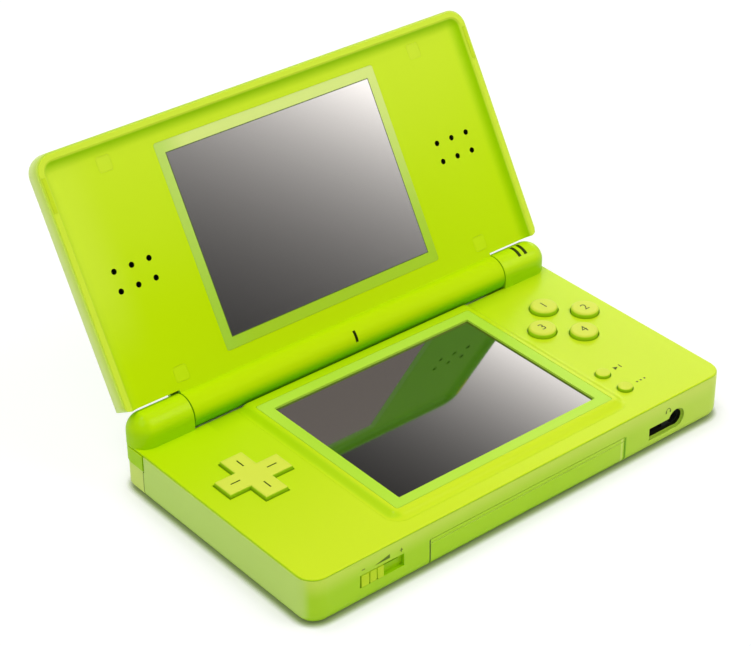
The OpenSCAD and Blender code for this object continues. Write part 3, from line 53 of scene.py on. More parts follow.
# %% [markdown]
# The places that the later cells need are read from the frame where a node gives them,
# so they stay right when a size changes. The lid stands at an angle, so its own
# directions come from the hinge joint and the angle at which it is shown.

# %% Places read from the frame
FRAME_ABOVE_DECK = 1.1 * MM
JOINTS = {joint["name"]: joint for joint in frame["record"]["behaviour"]["joints"]}
hinge = Vector(JOINTS["lid_hinge"]["pos_m"])
lid_open = math.radians(JOINTS["lid_hinge"]["range_deg"][1])
LID_ANGLE = math.pi - lid_open
lid_frame = Matrix.Translation(hinge) @ Matrix.Rotation(LID_ANGLE, 4, "X")


def middle(node):
    """The middle of a node's box."""
    low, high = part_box(node)
    return (low + high) / 2


def top_of(node):
    """The height of a node's highest point."""
    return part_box(node)[1].z


deck_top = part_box("touch_frame")[1].z - FRAME_ABOVE_DECK
case_low, case_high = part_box("base_shell")
front_face = case_low.y
print("hinge at", tuple(round(v, 4) for v in hinge), "lid at", round(math.degrees(LID_ANGLE), 2))

# %% [markdown]
# The camera stands in front of the console's left corner and looks down at it. It could
# be set by eye, but then few edges would lie where the picture has them, so its place and
# its lens were worked out from the corners of the case and of both screens in the
# photograph. The small shift keeps the console in the same part of the frame.

# %% Camera
CAMERA_PLACE = Vector((-298.47, -342.82, 324.28)) * MM
CAMERA_TURN = (57.196, -0.427, -40.721)
CAMERA_LENS = 107.379
CAMERA_SHIFT = (-0.07018, 0.02307)

camera_data = bpy.data.cameras.new("camera")
camera_data.sensor_width = 36
camera_data.lens = CAMERA_LENS
camera_data.shift_x, camera_data.shift_y = CAMERA_SHIFT
camera_data.clip_start = 0.01
camera_data.clip_end = 20
camera = bpy.data.objects.new("camera", camera_data)
camera.location = CAMERA_PLACE
camera.rotation_euler = Euler([math.radians(angle) for angle in CAMERA_TURN], "XYZ")
bpy.context.scene.collection.objects.link(camera)
bpy.context.scene.camera = camera
print("camera lens", CAMERA_LENS, "mm")

# %% [markdown]
# Colours are written the way a picture program shows them, from 0 to 255. They could be
# typed as Blender's own linear values, but those are hard to compare with a picture, so
# each is turned into linear light once, here.

# %% Colours


def linear(red, green, blue):
    """A colour of 0 to 255 as Blender's linear red, green, blue and alpha."""
    values = []
    for value in (red, green, blue):
        part = value / 255
        values.append(part / 12.92 if part <= 0.04045 else ((part + 0.055) / 1.055) ** 2.4)
    return (*values, 1.0)


LIME = linear(198, 236, 2)
LIME_WARM = linear(213, 238, 34)
SHELL = linear(178, 224, 34)
SHELL_PALE = linear(206, 234, 82)
SHELL_DEEP = linear(172, 220, 28)
# Painted shade at the foot of the lower case.
SHELL_FOOT_SHADE = linear(148, 190, 62)
SHELL_SIDE = linear(196, 228, 108)
SHELL_WARM = linear(224, 240, 112)
SHELL_OLIVE = linear(214, 236, 112)
LID_SHELL = linear(222, 244, 142)
FRAME_GREEN = linear(188, 235, 62)
FRAME_WARM = linear(194, 237, 72)
KEY_GREEN = linear(220, 232, 68)
KEY_WARM = linear(223, 233, 80)
# Painted shade on the walls of the keys.
KEY_WALL_SHADE = linear(168, 212, 20)
# Ink of the printed marks, also the painted shade in the microphone slot.
INK_AND_SLOT_SHADE = linear(62, 78, 20)
print("colours ready, lime is", [round(v, 3) for v in LIME])

# %% [markdown]
# Moulded plastic is never one flat colour. It has a very fine spark-eroded grain that
# breaks the highlight, and slow changes of shade across a part. An image of a surface
# could show both, but procedural noise needs no file and keeps its real scale. Every
# plastic here uses it, so it is made once, as a node group that gives a grain height, a
# slow mask and a roughness.

# %% Node helpers
GRAIN_SPREAD = 0.06
MOULD_INPUTS = (
    ("Grain Scale", 2600.0), ("Cloud Scale", 22.0), ("Roughness", 0.4), ("Spread", GRAIN_SPREAD),
)


def new_material(name):
    """An empty node material and its tree."""
    material = bpy.data.materials.new(name)
    material.use_nodes = True
    material.node_tree.nodes.clear()
    return material, material.node_tree


def add(tree, kind, **values):
    """A node with its sockets and properties set by name, with _ for a space."""
    node = tree.nodes.new(kind)
    for name, value in values.items():
        key = name.replace("_", " ")
        if key in node.inputs:
            node.inputs[key].default_value = value
        else:
            setattr(node, name, value)
    return node


def mix_colour(tree, factor, low, high):
    """Mixes two colours, each a colour or an output, by a factor output."""
    node = add(tree, "ShaderNodeMix", data_type="RGBA")
    tree.links.new(factor, node.inputs[0])
    for socket, value in ((node.inputs[6], low), (node.inputs[7], high)):
        if isinstance(value, bpy.types.NodeSocket):
            tree.links.new(value, socket)
        else:
            socket.default_value = value
    return node.outputs[2]


def ramp_value(tree, value, low, high, from_value=0.0, to_value=1.0):
    """A smooth step of a value from low to high."""
    node = add(tree, "ShaderNodeMapRange", interpolation_type="SMOOTHSTEP")
    tree.links.new(value, node.inputs["Value"])
    node.inputs["From Min"].default_value = low
    node.inputs["From Max"].default_value = high
    node.inputs["To Min"].default_value = from_value
    node.inputs["To Max"].default_value = to_value
    return node.outputs["Result"]


def make_moulding():
    """The node group for moulded plastic: grain height, slow mask and roughness."""
    group = bpy.data.node_groups.new("moulding", "ShaderNodeTree")
    for name, default in MOULD_INPUTS:
        socket = group.interface.new_socket(name, in_out="INPUT", socket_type="NodeSocketFloat")
        socket.default_value = default
    for name in ("Grain", "Cloud", "Roughness"):
        group.interface.new_socket(name, in_out="OUTPUT", socket_type="NodeSocketFloat")
    source = group.nodes.new("NodeGroupInput")
    target = group.nodes.new("NodeGroupOutput")
    place = add(group, "ShaderNodeTexCoord")
    grain = add(group, "ShaderNodeTexNoise", Detail=2.0)
    cloud = add(group, "ShaderNodeTexNoise", Detail=1.0)
    for node, scale in ((grain, "Grain Scale"), (cloud, "Cloud Scale")):
        group.links.new(place.outputs["Object"], node.inputs["Vector"])
        group.links.new(source.outputs[scale], node.inputs["Scale"])
    spread = add(group, "ShaderNodeMath", operation="MULTIPLY_ADD")
    group.links.new(grain.outputs[0], spread.inputs[0])
    group.links.new(source.outputs["Spread"], spread.inputs[1])
    group.links.new(source.outputs["Roughness"], spread.inputs[2])
    group.links.new(grain.outputs[0], target.inputs["Grain"])
    group.links.new(cloud.outputs[0], target.inputs["Cloud"])
    group.links.new(spread.outputs[0], target.inputs["Roughness"])
    return group


def join_up(tree, shader, colour, mould):
    """Joins colour and roughness to a shader, and the shader to the material's output."""
    out = add(tree, "ShaderNodeOutputMaterial")
    tree.links.new(colour, shader.inputs["Base Color"])
    tree.links.new(mould.outputs["Roughness"], shader.inputs["Roughness"])
    tree.links.new(shader.outputs[0], out.inputs["Surface"])


MOULDING = make_moulding()
print("moulding group has", len(MOULDING.nodes), "nodes")

# %% [markdown]
# Shades change across a part, and the change follows its shape. It could be painted on
# by hand, but the nodes can work it out from where a point lies and which way it faces,
# which stays right when a size changes. These masks say where a shade goes: between two
# corners, on walls, or on faces that lean to one side. The lid stands at an angle, so its
# masks use its own directions, measured from the hinge axis.

# %% Masks
SOFT_EDGE = 0.02 * MM


def multiplied(tree, masks):
    """The product of several masks."""
    result = masks[0]
    for mask in masks[1:]:
        both = add(tree, "ShaderNodeMath", operation="MULTIPLY")
        tree.links.new(result, both.inputs[0])
        tree.links.new(mask, both.inputs[1])
        result = both.outputs[0]
    return result


def own_axes(tree, turned=False):
    """Object coordinates, or the lid's own ones, as X, Y, Z and the size of X as side."""
    place = add(tree, "ShaderNodeTexCoord")
    source = place.outputs["Object"]
    if turned:
        mapping = add(tree, "ShaderNodeMapping", vector_type="TEXTURE")
        mapping.inputs["Location"].default_value = hinge
        mapping.inputs["Rotation"].default_value = (LID_ANGLE, 0, 0)
        tree.links.new(source, mapping.inputs["Vector"])
        source = mapping.outputs["Vector"]
    split = add(tree, "ShaderNodeSeparateXYZ")
    tree.links.new(source, split.inputs[0])
    side = add(tree, "ShaderNodeMath", operation="ABSOLUTE")
    tree.links.new(split.outputs["X"], side.inputs[0])
    axes = {name: split.outputs[name] for name in "XYZ"}
    axes["side"] = side.outputs[0]
    return axes


def box_mask(tree, axes, soft=SOFT_EDGE, **limits):
    """A mask that is 1 between a low and a high limit on each named axis; None is open."""
    masks = []
    for axis, (start, end) in limits.items():
        if start is not None:
            masks.append(ramp_value(tree, axes[axis], start - soft, start + soft))
        if end is not None:
            masks.append(ramp_value(tree, axes[axis], end - soft, end + soft, 1.0, 0.0))
    return multiplied(tree, masks)


def lean_mask(tree, axis, start, end):
    """A mask from one part of the surface's direction: 0 at start, 1 at end."""
    place = add(tree, "ShaderNodeTexCoord")
    split = add(tree, "ShaderNodeSeparateXYZ")
    tree.links.new(place.outputs["Normal"], split.inputs[0])
    low, high = min(start, end), max(start, end)
    first = 1.0 if start > end else 0.0
    return ramp_value(tree, split.outputs[axis], low, high, first, 1.0 - first)


def scaled(tree, mask, share):
    """A weaker copy of a mask."""
    node = add(tree, "ShaderNodeMath", operation="MULTIPLY")
    tree.links.new(mask, node.inputs[0])
    node.inputs[1].default_value = share
    return node.outputs[0]


print("mask helpers ready")

# %% [markdown]
# The satin plastic of deck, lid face, barrel and keys is coloured right through. A single colour
# would look dead, and separate materials would show their borders, so each finish drifts between
# two close shades: slowly and unevenly on the small pieces, and along one direction on the large
# ones, where the picture shows them paler and warmer towards one corner. On the lid face and its
# screw covers that drift is painted shade, deeper green towards the lid's lower end by the deck.
# Its surface reflects little, which keeps the shadows green instead of grey.

# %% Satin plastic
CLOUD_EDGES = (0.35, 0.65)
CLOUD_SHARE = 0.3
BUMP_STRENGTH = 0.06
BUMP_DEPTH = 0.1 * MM
PLASTIC_IOR = 1.5
SATIN_GLOSS = 0.12
SATIN_ROUGHNESS = 0.42
SATIN_COAT_ROUGHNESS = 0.2


def drift_mask(tree, cloud, across):
    """The slow mask, alone or added to a slope: a direction in 1/m and its start."""
    if across is None:
        return ramp_value(tree, cloud, *CLOUD_EDGES)
    direction, start = across
    place = add(tree, "ShaderNodeTexCoord")
    along = add(tree, "ShaderNodeVectorMath", operation="DOT_PRODUCT")
    tree.links.new(place.outputs["Object"], along.inputs[0])
    along.inputs[1].default_value = direction
    total = add(tree, "ShaderNodeMath", operation="MULTIPLY_ADD")
    tree.links.new(cloud, total.inputs[0])
    total.inputs[1].default_value = CLOUD_SHARE
    tree.links.new(along.outputs["Value"], total.inputs[2])
    return ramp_value(tree, total.outputs[0], start, start + 1.0)


def satin_plastic(
    name, low, high, roughness=SATIN_ROUGHNESS, across=None, details=None, coat=0.0,
):
    """Moulded plastic of two close shades; details adds the painted shade that follows its shape.
    """
    material, tree = new_material(name)
    shader = add(
        tree, "ShaderNodeBsdfPrincipled", IOR=PLASTIC_IOR, Specular_IOR_Level=SATIN_GLOSS,
        Specular_Tint=high, Coat_Weight=coat, Coat_Roughness=SATIN_COAT_ROUGHNESS,
    )
    base = roughness - GRAIN_SPREAD / 2
    mould = add(tree, "ShaderNodeGroup", node_tree=MOULDING, Roughness=base)
    bump = add(tree, "ShaderNodeBump", Strength=BUMP_STRENGTH, Distance=BUMP_DEPTH)
    mask = drift_mask(tree, mould.outputs["Cloud"], across)
    colour = mix_colour(tree, mask, low, high)
    if details is not None:
        colour = details(tree, colour)
    tree.links.new(mould.outputs["Grain"], bump.inputs["Height"])
    tree.links.new(bump.outputs["Normal"], shader.inputs["Normal"])
    join_up(tree, shader, colour, mould)
    return material


knob_finish = satin_plastic("knob_finish", KEY_GREEN, KEY_WARM)
volume_finish = satin_plastic("volume_finish", linear(200, 229, 42), linear(206, 232, 54))
frame_finish = satin_plastic("frame_finish", FRAME_GREEN, FRAME_WARM, roughness=0.34)
print("satin plastics: knobs and screen frame")

# %% [markdown]
# The deck is the wide face round the lower screen. The picture shows it deeper green on its walls,
# on the slopes that lean to the left, in the shade right in front of the barrel, and slightly on
# the right. Small lamps could be set for each of these, but they would light other pieces too, so
# these shades are painted into the finish, by place and by direction. The keys are a yellower
# plastic, with painted shade on their walls.

# %% Deck and keys
DECK_DRIFT = ((2.0, -17.0, 0.0), -0.45)
# Painted shade: deck walls and left-leaning slopes, in front of the barrel, and the right side.
DECK_WALL_SHADE = linear(172, 222, 0)
DECK_SHADE = linear(120, 180, 0)
DECK_RIGHT_SHADE = linear(206, 230, 16)
DECK_FACE = deck_top + 1.5 * MM
barrel_front = 2 * hinge.y - case_high.y
SHADE_ALONG = (barrel_front - 5.5 * MM, barrel_front + 0.5 * MM)
SHADE_LEFT = -47.0 * MM
SHADE_SOFT = 0.5 * MM
SHADE_SHARE = 0.27
RIGHT_SHADE_ACROSS = (15 * MM, 60 * MM)
RIGHT_SHADE_SHARE = 0.5
SLOPE_SHADE_LEAN = (-0.06, -0.4)
SLOPE_SHADE_SHARE = 0.55
DECK_WALL_SHADE_LEAN = (0.55, 0.0)
KEY_WALL_SHADE_LEAN = (0.85, 0.25)
KEY_ROUGHNESS = 0.38


def deck_painted_shade(tree, colour):
    """Painted shade at the barrel, on the right side, on slopes that lean left, and on walls."""
    axes = own_axes(tree)
    # Painted shade in front of the barrel, on the right, on slopes that lean left and on walls.
    shade = ramp_value(tree, axes["Y"], *SHADE_ALONG, 0.0, SHADE_SHARE)
    low_deck = box_mask(tree, axes, SHADE_SOFT, X=(SHADE_LEFT, None), Z=(None, DECK_FACE))
    colour = mix_colour(tree, multiplied(tree, [shade, low_deck]), colour, DECK_SHADE)
    right = ramp_value(tree, axes["X"], *RIGHT_SHADE_ACROSS, 0.0, RIGHT_SHADE_SHARE)
    right = multiplied(tree, [right, box_mask(tree, axes, Z=(None, DECK_FACE))])
    colour = mix_colour(tree, right, colour, DECK_RIGHT_SHADE)
    slopes = scaled(tree, lean_mask(tree, "X", *SLOPE_SHADE_LEAN), SLOPE_SHADE_SHARE)
    colour = mix_colour(tree, slopes, colour, DECK_WALL_SHADE)
    return mix_colour(tree, lean_mask(tree, "Z", *DECK_WALL_SHADE_LEAN), colour, DECK_WALL_SHADE)


def shaded_key_walls(tree, colour):
    """Painted shade: deeper green walls."""
    return mix_colour(tree, lean_mask(tree, "Z", *KEY_WALL_SHADE_LEAN), colour, KEY_WALL_SHADE)


def key_plastic(name, low, high):
    """The plastic of the keys, a little smoother than the deck, with painted shade on its walls.
    """
    return satin_plastic(name, low, high, roughness=KEY_ROUGHNESS, details=shaded_key_walls)


deck_finish = satin_plastic(
    "deck_finish", LIME, LIME_WARM, across=DECK_DRIFT, details=deck_painted_shade, coat=0.12,
)
key_finish = key_plastic("key_finish", KEY_GREEN, KEY_WARM)
pad_finish = key_plastic("pad_finish", linear(228, 239, 80), linear(230, 240, 88))
small_key_finish = key_plastic("small_key_finish", linear(214, 230, 56), linear(217, 231, 66))
print("deck shade from", round(SHADE_ALONG[0], 4), "to", round(SHADE_ALONG[1], 4))

# %% [markdown]
# The lid's inner face is dished, with a thin raised rim. The picture shows the dish deep green
# under the rim at the top and on the right, and pale on the left: painted shade under the rim and
# painted light on the left. The holes and the microphone slot are painted dark inside as shade,
# and the barrel has painted shade below. Each shade is a mask in the lid's own directions, so it
# stays on its place of the shape. In a mirror, such as the lower screen, the lid's inside takes a
# deep green, a painted shade. That follows the kind of ray that meets it, and not where the camera
# stands.

# %% Lid face and barrel
# Painted shade: lid face and screw covers deeper green towards the lid's lower end.
BEZEL_SHADE_DRIFT = ((1.0, 0.0, 16.0), 0.6)
BEZEL_SHADED = linear(199, 234, 0)
BEZEL_LIT = linear(214, 241, 52)
BEZEL_RIM = linear(216, 240, 64)
DISH_LEFT_LIGHT = linear(216, 242, 62)
COVER_SHADED = linear(203, 236, 16)
COVER_LIT = linear(215, 240, 60)
# Painted shade under the dish's rim and on the barrel's underside, in mirrors and in the holes.
DISH_RIM_SHADE = linear(158, 212, 0)
BARREL_UNDER_SHADE = linear(120, 196, 0)
MIRROR_SHADE = linear(110, 202, 0)
MIRROR_SHADE_SHARE = 0.9
HOLE_SHADE = linear(24, 30, 8)
HOLE_SUNK = 0.1 * MM
FACE_FROM = 5.0 * MM
FACE_LEVEL = 1.35 * MM
UNDER_SHADE_LEAN = (0.45, -0.25)
RIM_FROM = 2.3 * MM
RIM_SOFT = 0.2 * MM
RIM_SIDE = 64.7 * MM
RIM_FAR = 67.5 * MM
DISH_SIDE = RIM_SIDE - 4.5 * MM
DISH_FAR = RIM_FAR - 3.6 * MM
LEFT_LIGHT_ACROSS = (-61 * MM, -50 * MM)
LEFT_LIGHT_ALONG = (12 * MM, 40 * MM)
LEFT_LIGHT_SHARE = 0.7
SPEAKER_SIDE = (44.0 * MM, 57.5 * MM)
SPEAKER_ALONG = (28.0 * MM, 42.0 * MM)
MICROPHONE_HALF = 0.42 * MM
MICROPHONE_ALONG = (-1.35 * MM, 1.7 * MM)
MICROPHONE_FROM = 2.0 * MM


def shaded_in_mirror(tree, colour):
    """Painted shade: the deep green that a mirror shows of the lid's inner side."""
    path = add(tree, "ShaderNodeLightPath")
    mirrored = scaled(tree, path.outputs["Is Glossy Ray"], MIRROR_SHADE_SHARE)
    return mix_colour(tree, mirrored, colour, MIRROR_SHADE)


def bezel_details(tree, colour):
    """Painted shade on the barrel's underside, under the dish's rim, in the holes, the slot and
    mirrors; painted light on the dish's left; the rim.
    """
    axes = own_axes(tree, turned=True)
    # Painted shade on the barrel's underside.
    on_barrel = box_mask(tree, axes, Y=(None, FACE_FROM))
    barrel = multiplied(tree, [on_barrel, lean_mask(tree, "Z", *UNDER_SHADE_LEAN)])
    colour = mix_colour(tree, barrel, colour, BARREL_UNDER_SHADE)
    # Painted light on the dish's left.
    left = ramp_value(tree, axes["X"], *LEFT_LIGHT_ACROSS, LEFT_LIGHT_SHARE, 0.0)
    left = multiplied(tree, [left, ramp_value(tree, axes["Y"], *LEFT_LIGHT_ALONG)])
    colour = mix_colour(tree, left, colour, DISH_LEFT_LIGHT)
    # Painted shade under the rim, at the far side and on the right.
    far = ramp_value(tree, axes["Y"], DISH_FAR, RIM_FAR)
    colour = mix_colour(tree, far, colour, DISH_RIM_SHADE)
    right = ramp_value(tree, axes["X"], DISH_SIDE, RIM_SIDE)
    colour = mix_colour(tree, right, colour, DISH_RIM_SHADE)
    rim = box_mask(tree, axes, RIM_SOFT, Y=(FACE_FROM, None), Z=(RIM_FROM, None))
    colour = mix_colour(tree, rim, colour, BEZEL_RIM)
    # Painted shade inside the speaker holes and the microphone slot.
    inside = (None, FACE_LEVEL - HOLE_SUNK)
    holes = box_mask(tree, axes, side=SPEAKER_SIDE, Y=SPEAKER_ALONG, Z=inside)
    colour = mix_colour(tree, holes, colour, HOLE_SHADE)
    slot = box_mask(
        tree, axes, side=(None, MICROPHONE_HALF), Y=MICROPHONE_ALONG, Z=(MICROPHONE_FROM, None),
    )
    return shaded_in_mirror(tree, mix_colour(tree, slot, colour, INK_AND_SLOT_SHADE))


# Painted shade: deeper green towards the lid's lower end, and deep green in mirrors.
bezel_finish = satin_plastic(
    "bezel_finish", BEZEL_SHADED, BEZEL_LIT, across=BEZEL_SHADE_DRIFT, details=bezel_details,
)
cover_finish = satin_plastic(
    "screw_cover_finish", COVER_SHADED, COVER_LIT, across=BEZEL_SHADE_DRIFT, details=shaded_in_mirror,
)
print("lid face, barrel and screw covers ready")

# %% [markdown]
# The outer shells of the real console are a clear layer over a coloured core, so they look milky
# and paler than the deck. True translucency would need a second, inner shape and many more
# samples, so the milky look is a change of colour: palest towards the seam, deeper green lower
# down, warmer to the right. On the lower case it follows the height, and on the lid the distance
# from the outer face. A clear coat gives the polish. The lower case also has painted shade: a thin
# deep green band at its foot, a dark seam under each shoulder button, and its front openings, by
# how deep a point lies behind the front face. The slot cover's step and edges get painted shade
# and painted highlights the same way. In mirrors the lid's shell takes a painted deep green shade.

# %% Shell plastic
SHOULDER_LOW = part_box("shoulder_left")[0].z
SHOULDER_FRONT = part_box("shoulder_left")[0].y
SHOULDER_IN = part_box("shoulder_right")[0].x
SEAM = 0.3 * MM
# Painted shade in the seam, the ledge, the opening and the recess, painted highlights at the slot
# cover's gap and ridge, and painted shade at its ends.
SEAM_SHADE = linear(112, 140, 34)
LEDGE_SHADE = linear(168, 200, 62)
OPENING_SHADE = linear(30, 34, 14)
RECESS_SHADE = linear(164, 214, 0)
GAP_HIGHLIGHT = linear(222, 244, 120)
COVER_LEFT_SHADE = linear(84, 120, 8)
COVER_RIGHT_SHADE = linear(126, 184, 16)
RIDGE_HIGHLIGHT = linear(210, 236, 108)
SHELL_GLOSS = 0.1
SHELL_COAT = 0.1
SHELL_COAT_ROUGHNESS = 0.12
SHELL_ROUGHNESS = 0.34
SIDE_LEAN = (-0.7, -1.0)
# Painted shade at the bottom edge of the case.
FOOT_SHADE_HEIGHT = (0.1 * MM, 1.0 * MM)
PALE_ABOVE = 0.55
DEEP_BELOW = 0.35
WARM_ACROSS = (0 * MM, 75 * MM)
WARM_SHARE = 0.52
VOLUME_TRAVEL = 5.8 * MM
KNOB_GAP = 0.3 * MM
SLOT_END = 0.5 * MM
LID_OUTSIDE = -5.5 * MM
LID_EDGE = 2.4 * MM
jack_low, jack_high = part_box("audio_jack")
cover_low, cover_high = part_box("slot_cover")
knob_low, knob_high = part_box("volume_knob")
jack_across = (jack_low.x, jack_high.x)
jack_height = (jack_low.z, jack_high.z)
knob_across = (knob_low.x - KNOB_GAP, knob_high.x + VOLUME_TRAVEL + SLOT_END)
knob_height = (knob_low.z - KNOB_GAP, knob_high.z + KNOB_GAP)
cover_across = (cover_low.x, cover_high.x)
cover_height = (cover_low.z, cover_high.z)
gap_height = (cover_high.z - 0.1 * MM, cover_high.z + 0.5 * MM)

# Each row: across, how deep behind the front face in mm, height, colour of the painted shade or
# highlight.
CASE_SHADES_AND_HIGHLIGHTS = (
    (jack_across, (0.04, 0.72), jack_height, LEDGE_SHADE),
    (jack_across, (0.72, 20.0), jack_height, OPENING_SHADE),
    (knob_across, (0.06, 3.0), knob_height, RECESS_SHADE),
    (cover_across, (0.03, 3.0), gap_height, GAP_HIGHLIGHT),
    ((cover_low.x - 0.45 * MM, cover_low.x + 0.12 * MM), (-0.1, 3.0), cover_height, COVER_LEFT_SHADE),
    ((cover_high.x - 0.1 * MM, cover_high.x + 0.7 * MM), (-0.1, 3.0), cover_height, COVER_RIGHT_SHADE),
)
COVER_HIGHLIGHTS = (
    (cover_across, (0.03, 0.6), (cover_low.z + 2 * MM, cover_high.z), GAP_HIGHLIGHT),
    ((cover_high.x - 1.1 * MM, cover_high.x - 0.5 * MM), (-0.1, 0.5), cover_height, RIDGE_HIGHLIGHT),
)


def front_details(tree, axes, colour, marks):
    """Pale left side, painted shade at the foot, and painted shade and highlights at the front's
    openings and edges.
    """
    colour = mix_colour(tree, lean_mask(tree, "X", *SIDE_LEAN), colour, SHELL_SIDE)
    # Painted shade at the foot.
    foot = ramp_value(tree, axes["Z"], *FOOT_SHADE_HEIGHT, 1.0, 0.0)
    colour = mix_colour(tree, foot, colour, SHELL_FOOT_SHADE)
    for across, deep, height, shade in marks:
        inward = (front_face + deep[0] * MM, front_face + deep[1] * MM)
        marked = box_mask(tree, axes, X=across, Y=inward, Z=height)
        colour = mix_colour(tree, marked, colour, shade)
    return colour


def case_details(tree, axes, colour):
    """The lower case: its front, and the corners under the shoulder buttons, with a seam of
    painted shade.
    """
    colour = front_details(tree, axes, colour, CASE_SHADES_AND_HIGHLIGHTS)
    # A seam of painted shade under each shoulder button, then the olive corner.
    for start, shade in ((SHOULDER_FRONT - SEAM, SEAM_SHADE), (SHOULDER_FRONT, SHELL_OLIVE)):
        corner = box_mask(
            tree, axes, side=(SHOULDER_IN, None), Y=(start, None), Z=(None, SHOULDER_LOW),
        )
        colour = mix_colour(tree, corner, colour, shade)
    return colour


def cover_details(tree, axes, colour):
    """The slot cover: the case's painted shades, and painted highlights on its step and on a ridge
    at its right end.
    """
    return front_details(tree, axes, colour, COVER_HIGHLIGHTS)


def shell_plastic(name, low, high, main, details=None):
    """Milky outer plastic between two heights; without details it is the lid's."""
    material, tree = new_material(name)
    shader = add(
        tree, "ShaderNodeBsdfPrincipled", IOR=PLASTIC_IOR, Specular_IOR_Level=SHELL_GLOSS,
        Coat_Weight=SHELL_COAT, Coat_Roughness=SHELL_COAT_ROUGHNESS,
    )
    axes = own_axes(tree, turned=details is None)
    mould = add(tree, "ShaderNodeGroup", node_tree=MOULDING, Roughness=SHELL_ROUGHNESS)
    height = high - low
    pale = ramp_value(tree, axes["Z"], low + PALE_ABOVE * height, high)
    colour = mix_colour(tree, pale, main, SHELL_PALE)
    deep = ramp_value(tree, axes["Z"], low, low + DEEP_BELOW * height, 1.0, 0.0)
    colour = mix_colour(tree, deep, colour, SHELL_DEEP)
    right = ramp_value(tree, axes["X"], *WARM_ACROSS, 0.0, WARM_SHARE)
    colour = mix_colour(tree, right, colour, SHELL_WARM)
    # The lid's shell takes painted shade in mirrors.
    colour = shaded_in_mirror(tree, colour) if details is None else details(tree, axes, colour)
    join_up(tree, shader, colour, mould)
    return material


shell_finish = shell_plastic("shell_finish", 0.0, case_high.z, SHELL, case_details)
slot_cover_finish = shell_plastic("slot_cover_finish", 0.0, case_high.z, SHELL, cover_details)
lid_shell_finish = shell_plastic("lid_shell_finish", LID_OUTSIDE, LID_EDGE, LID_SHELL)
print("shell plastics: case, slot cover and lid")

# %% [markdown]
# Both screens are dark glass over a display that is switched off. Such a stack sends back
# more light than plain glass, because it has several layers. They could be modelled one
# by one, but a higher index of refraction gives the same in one surface. The gradient in
# the picture is the studio, seen in the glass.

# %% Screen glass
GLASS_DARK = (0.003, 0.003, 0.003, 1)
TOUCH_INDEX = 3.1
GLASS_ROUGHNESS = 0.03
GLASS_SPREAD = 0.01
GLASS_SHADE = 0.8
DISPLAY_HALF = (31.5 * MM, 23.7 * MM)


def darker(colour, share):
    """The same colour with less light."""
    return (*(share * value for value in colour[:3]), 1)


def smoked_glass(name, colour, index):
    """Glossy dark glass with a faint change in its polish."""
    material, tree = new_material(name)
    shader = add(tree, "ShaderNodeBsdfPrincipled", IOR=index)
    mould = add(
        tree, "ShaderNodeGroup", node_tree=MOULDING,
        Roughness=GLASS_ROUGHNESS, Spread=GLASS_SPREAD,
    )
    shade = mix_colour(tree, mould.outputs["Cloud"], colour, darker(colour, GLASS_SHADE))
    join_up(tree, shader, shade, mould)
    return material


touch_finish = smoked_glass("touch_finish", GLASS_DARK, TOUCH_INDEX)
print("touch panel glass ready")

# %% [markdown]
# The upper lens is one clear sheet, printed pale green on its back round a dark window.
# Window and border could be two pieces, but on the real lens they are one print, so two
# rectangular masks in the lid's own directions pick out the window and the thin dark line
# round it. Only the window has the strong reflection.

# %% Upper lens
LENS_MIDDLE = 36.0 * MM
LINE = 0.22 * MM
LINE_COLOUR = linear(70, 90, 30)
LENS_INDEX = 2.7
LENS_GLOSS = 0.2
LENS_ROUGHNESS = 0.28
SHARP_EDGE = 0.001 * MM
FAR_ALONG = (10 * MM, 64 * MM)
FAR_SHARE = 0.8
BORDER_ACROSS = (-34 * MM, -24 * MM)
BORDER_LEFT_SHARE = 0.6
BORDER = linear(172, 213, 20)
BORDER_PALE = linear(231, 244, 144)
BORDER_LEFT = linear(168, 214, 58)
WINDOW_DARK = ((0.007, 0.007, 0.007, 1), (0.005, 0.005, 0.005, 1))


def inside_rectangle(tree, axes, half_x, half_y):
    """A mask that is 1 inside a rectangle round the lens's middle, with a sharp edge."""
    along = (LENS_MIDDLE - half_y, LENS_MIDDLE + half_y)
    return box_mask(tree, axes, SHARP_EDGE, side=(None, half_x), Y=along)


def lens_material():
    """Clear sheet with a pale printed border and a dark window."""
    material, tree = new_material("lens_finish")
    shader = add(
        tree, "ShaderNodeBsdfPrincipled", IOR=PLASTIC_IOR, Specular_IOR_Level=LENS_GLOSS,
        Coat_IOR=LENS_INDEX, Coat_Roughness=GLASS_ROUGHNESS,
    )
    axes = own_axes(tree, turned=True)
    window = inside_rectangle(tree, axes, *DISPLAY_HALF)
    line = inside_rectangle(tree, axes, DISPLAY_HALF[0] + LINE, DISPLAY_HALF[1] + LINE)
    mould = add(tree, "ShaderNodeGroup", node_tree=MOULDING, Roughness=LENS_ROUGHNESS)
    dark = mix_colour(tree, mould.outputs["Cloud"], *WINDOW_DARK)
    far_side = ramp_value(tree, axes["Y"], *FAR_ALONG, 0.0, FAR_SHARE)
    border = mix_colour(tree, far_side, BORDER, BORDER_PALE)
    on_left = ramp_value(tree, axes["X"], *BORDER_ACROSS, BORDER_LEFT_SHARE, 0.0)
    border = mix_colour(tree, on_left, border, BORDER_LEFT)
    # The border takes painted shade in mirrors.
    outside = shaded_in_mirror(tree, mix_colour(tree, line, border, LINE_COLOUR))
    tree.links.new(window, shader.inputs["Coat Weight"])
    join_up(tree, shader, mix_colour(tree, window, outside, dark), mould)
    return material


lens_finish = lens_material()
print("upper lens ready")

# %% [markdown]
# The small inner parts are seen only through holes and slots, or with the lid or a cover
# moved. They could share one grey, but a slot looks right only with the true pieces
# behind it, so each gets its own finish: dark mouldings, bright steel, the board's
# lacquer, the battery's wrap and the cable's amber film.

# %% Inner finishes
BRUSH_SCALE = 1400.0
BRUSH_SPREAD = 0.15
METAL_SHADE = 0.85


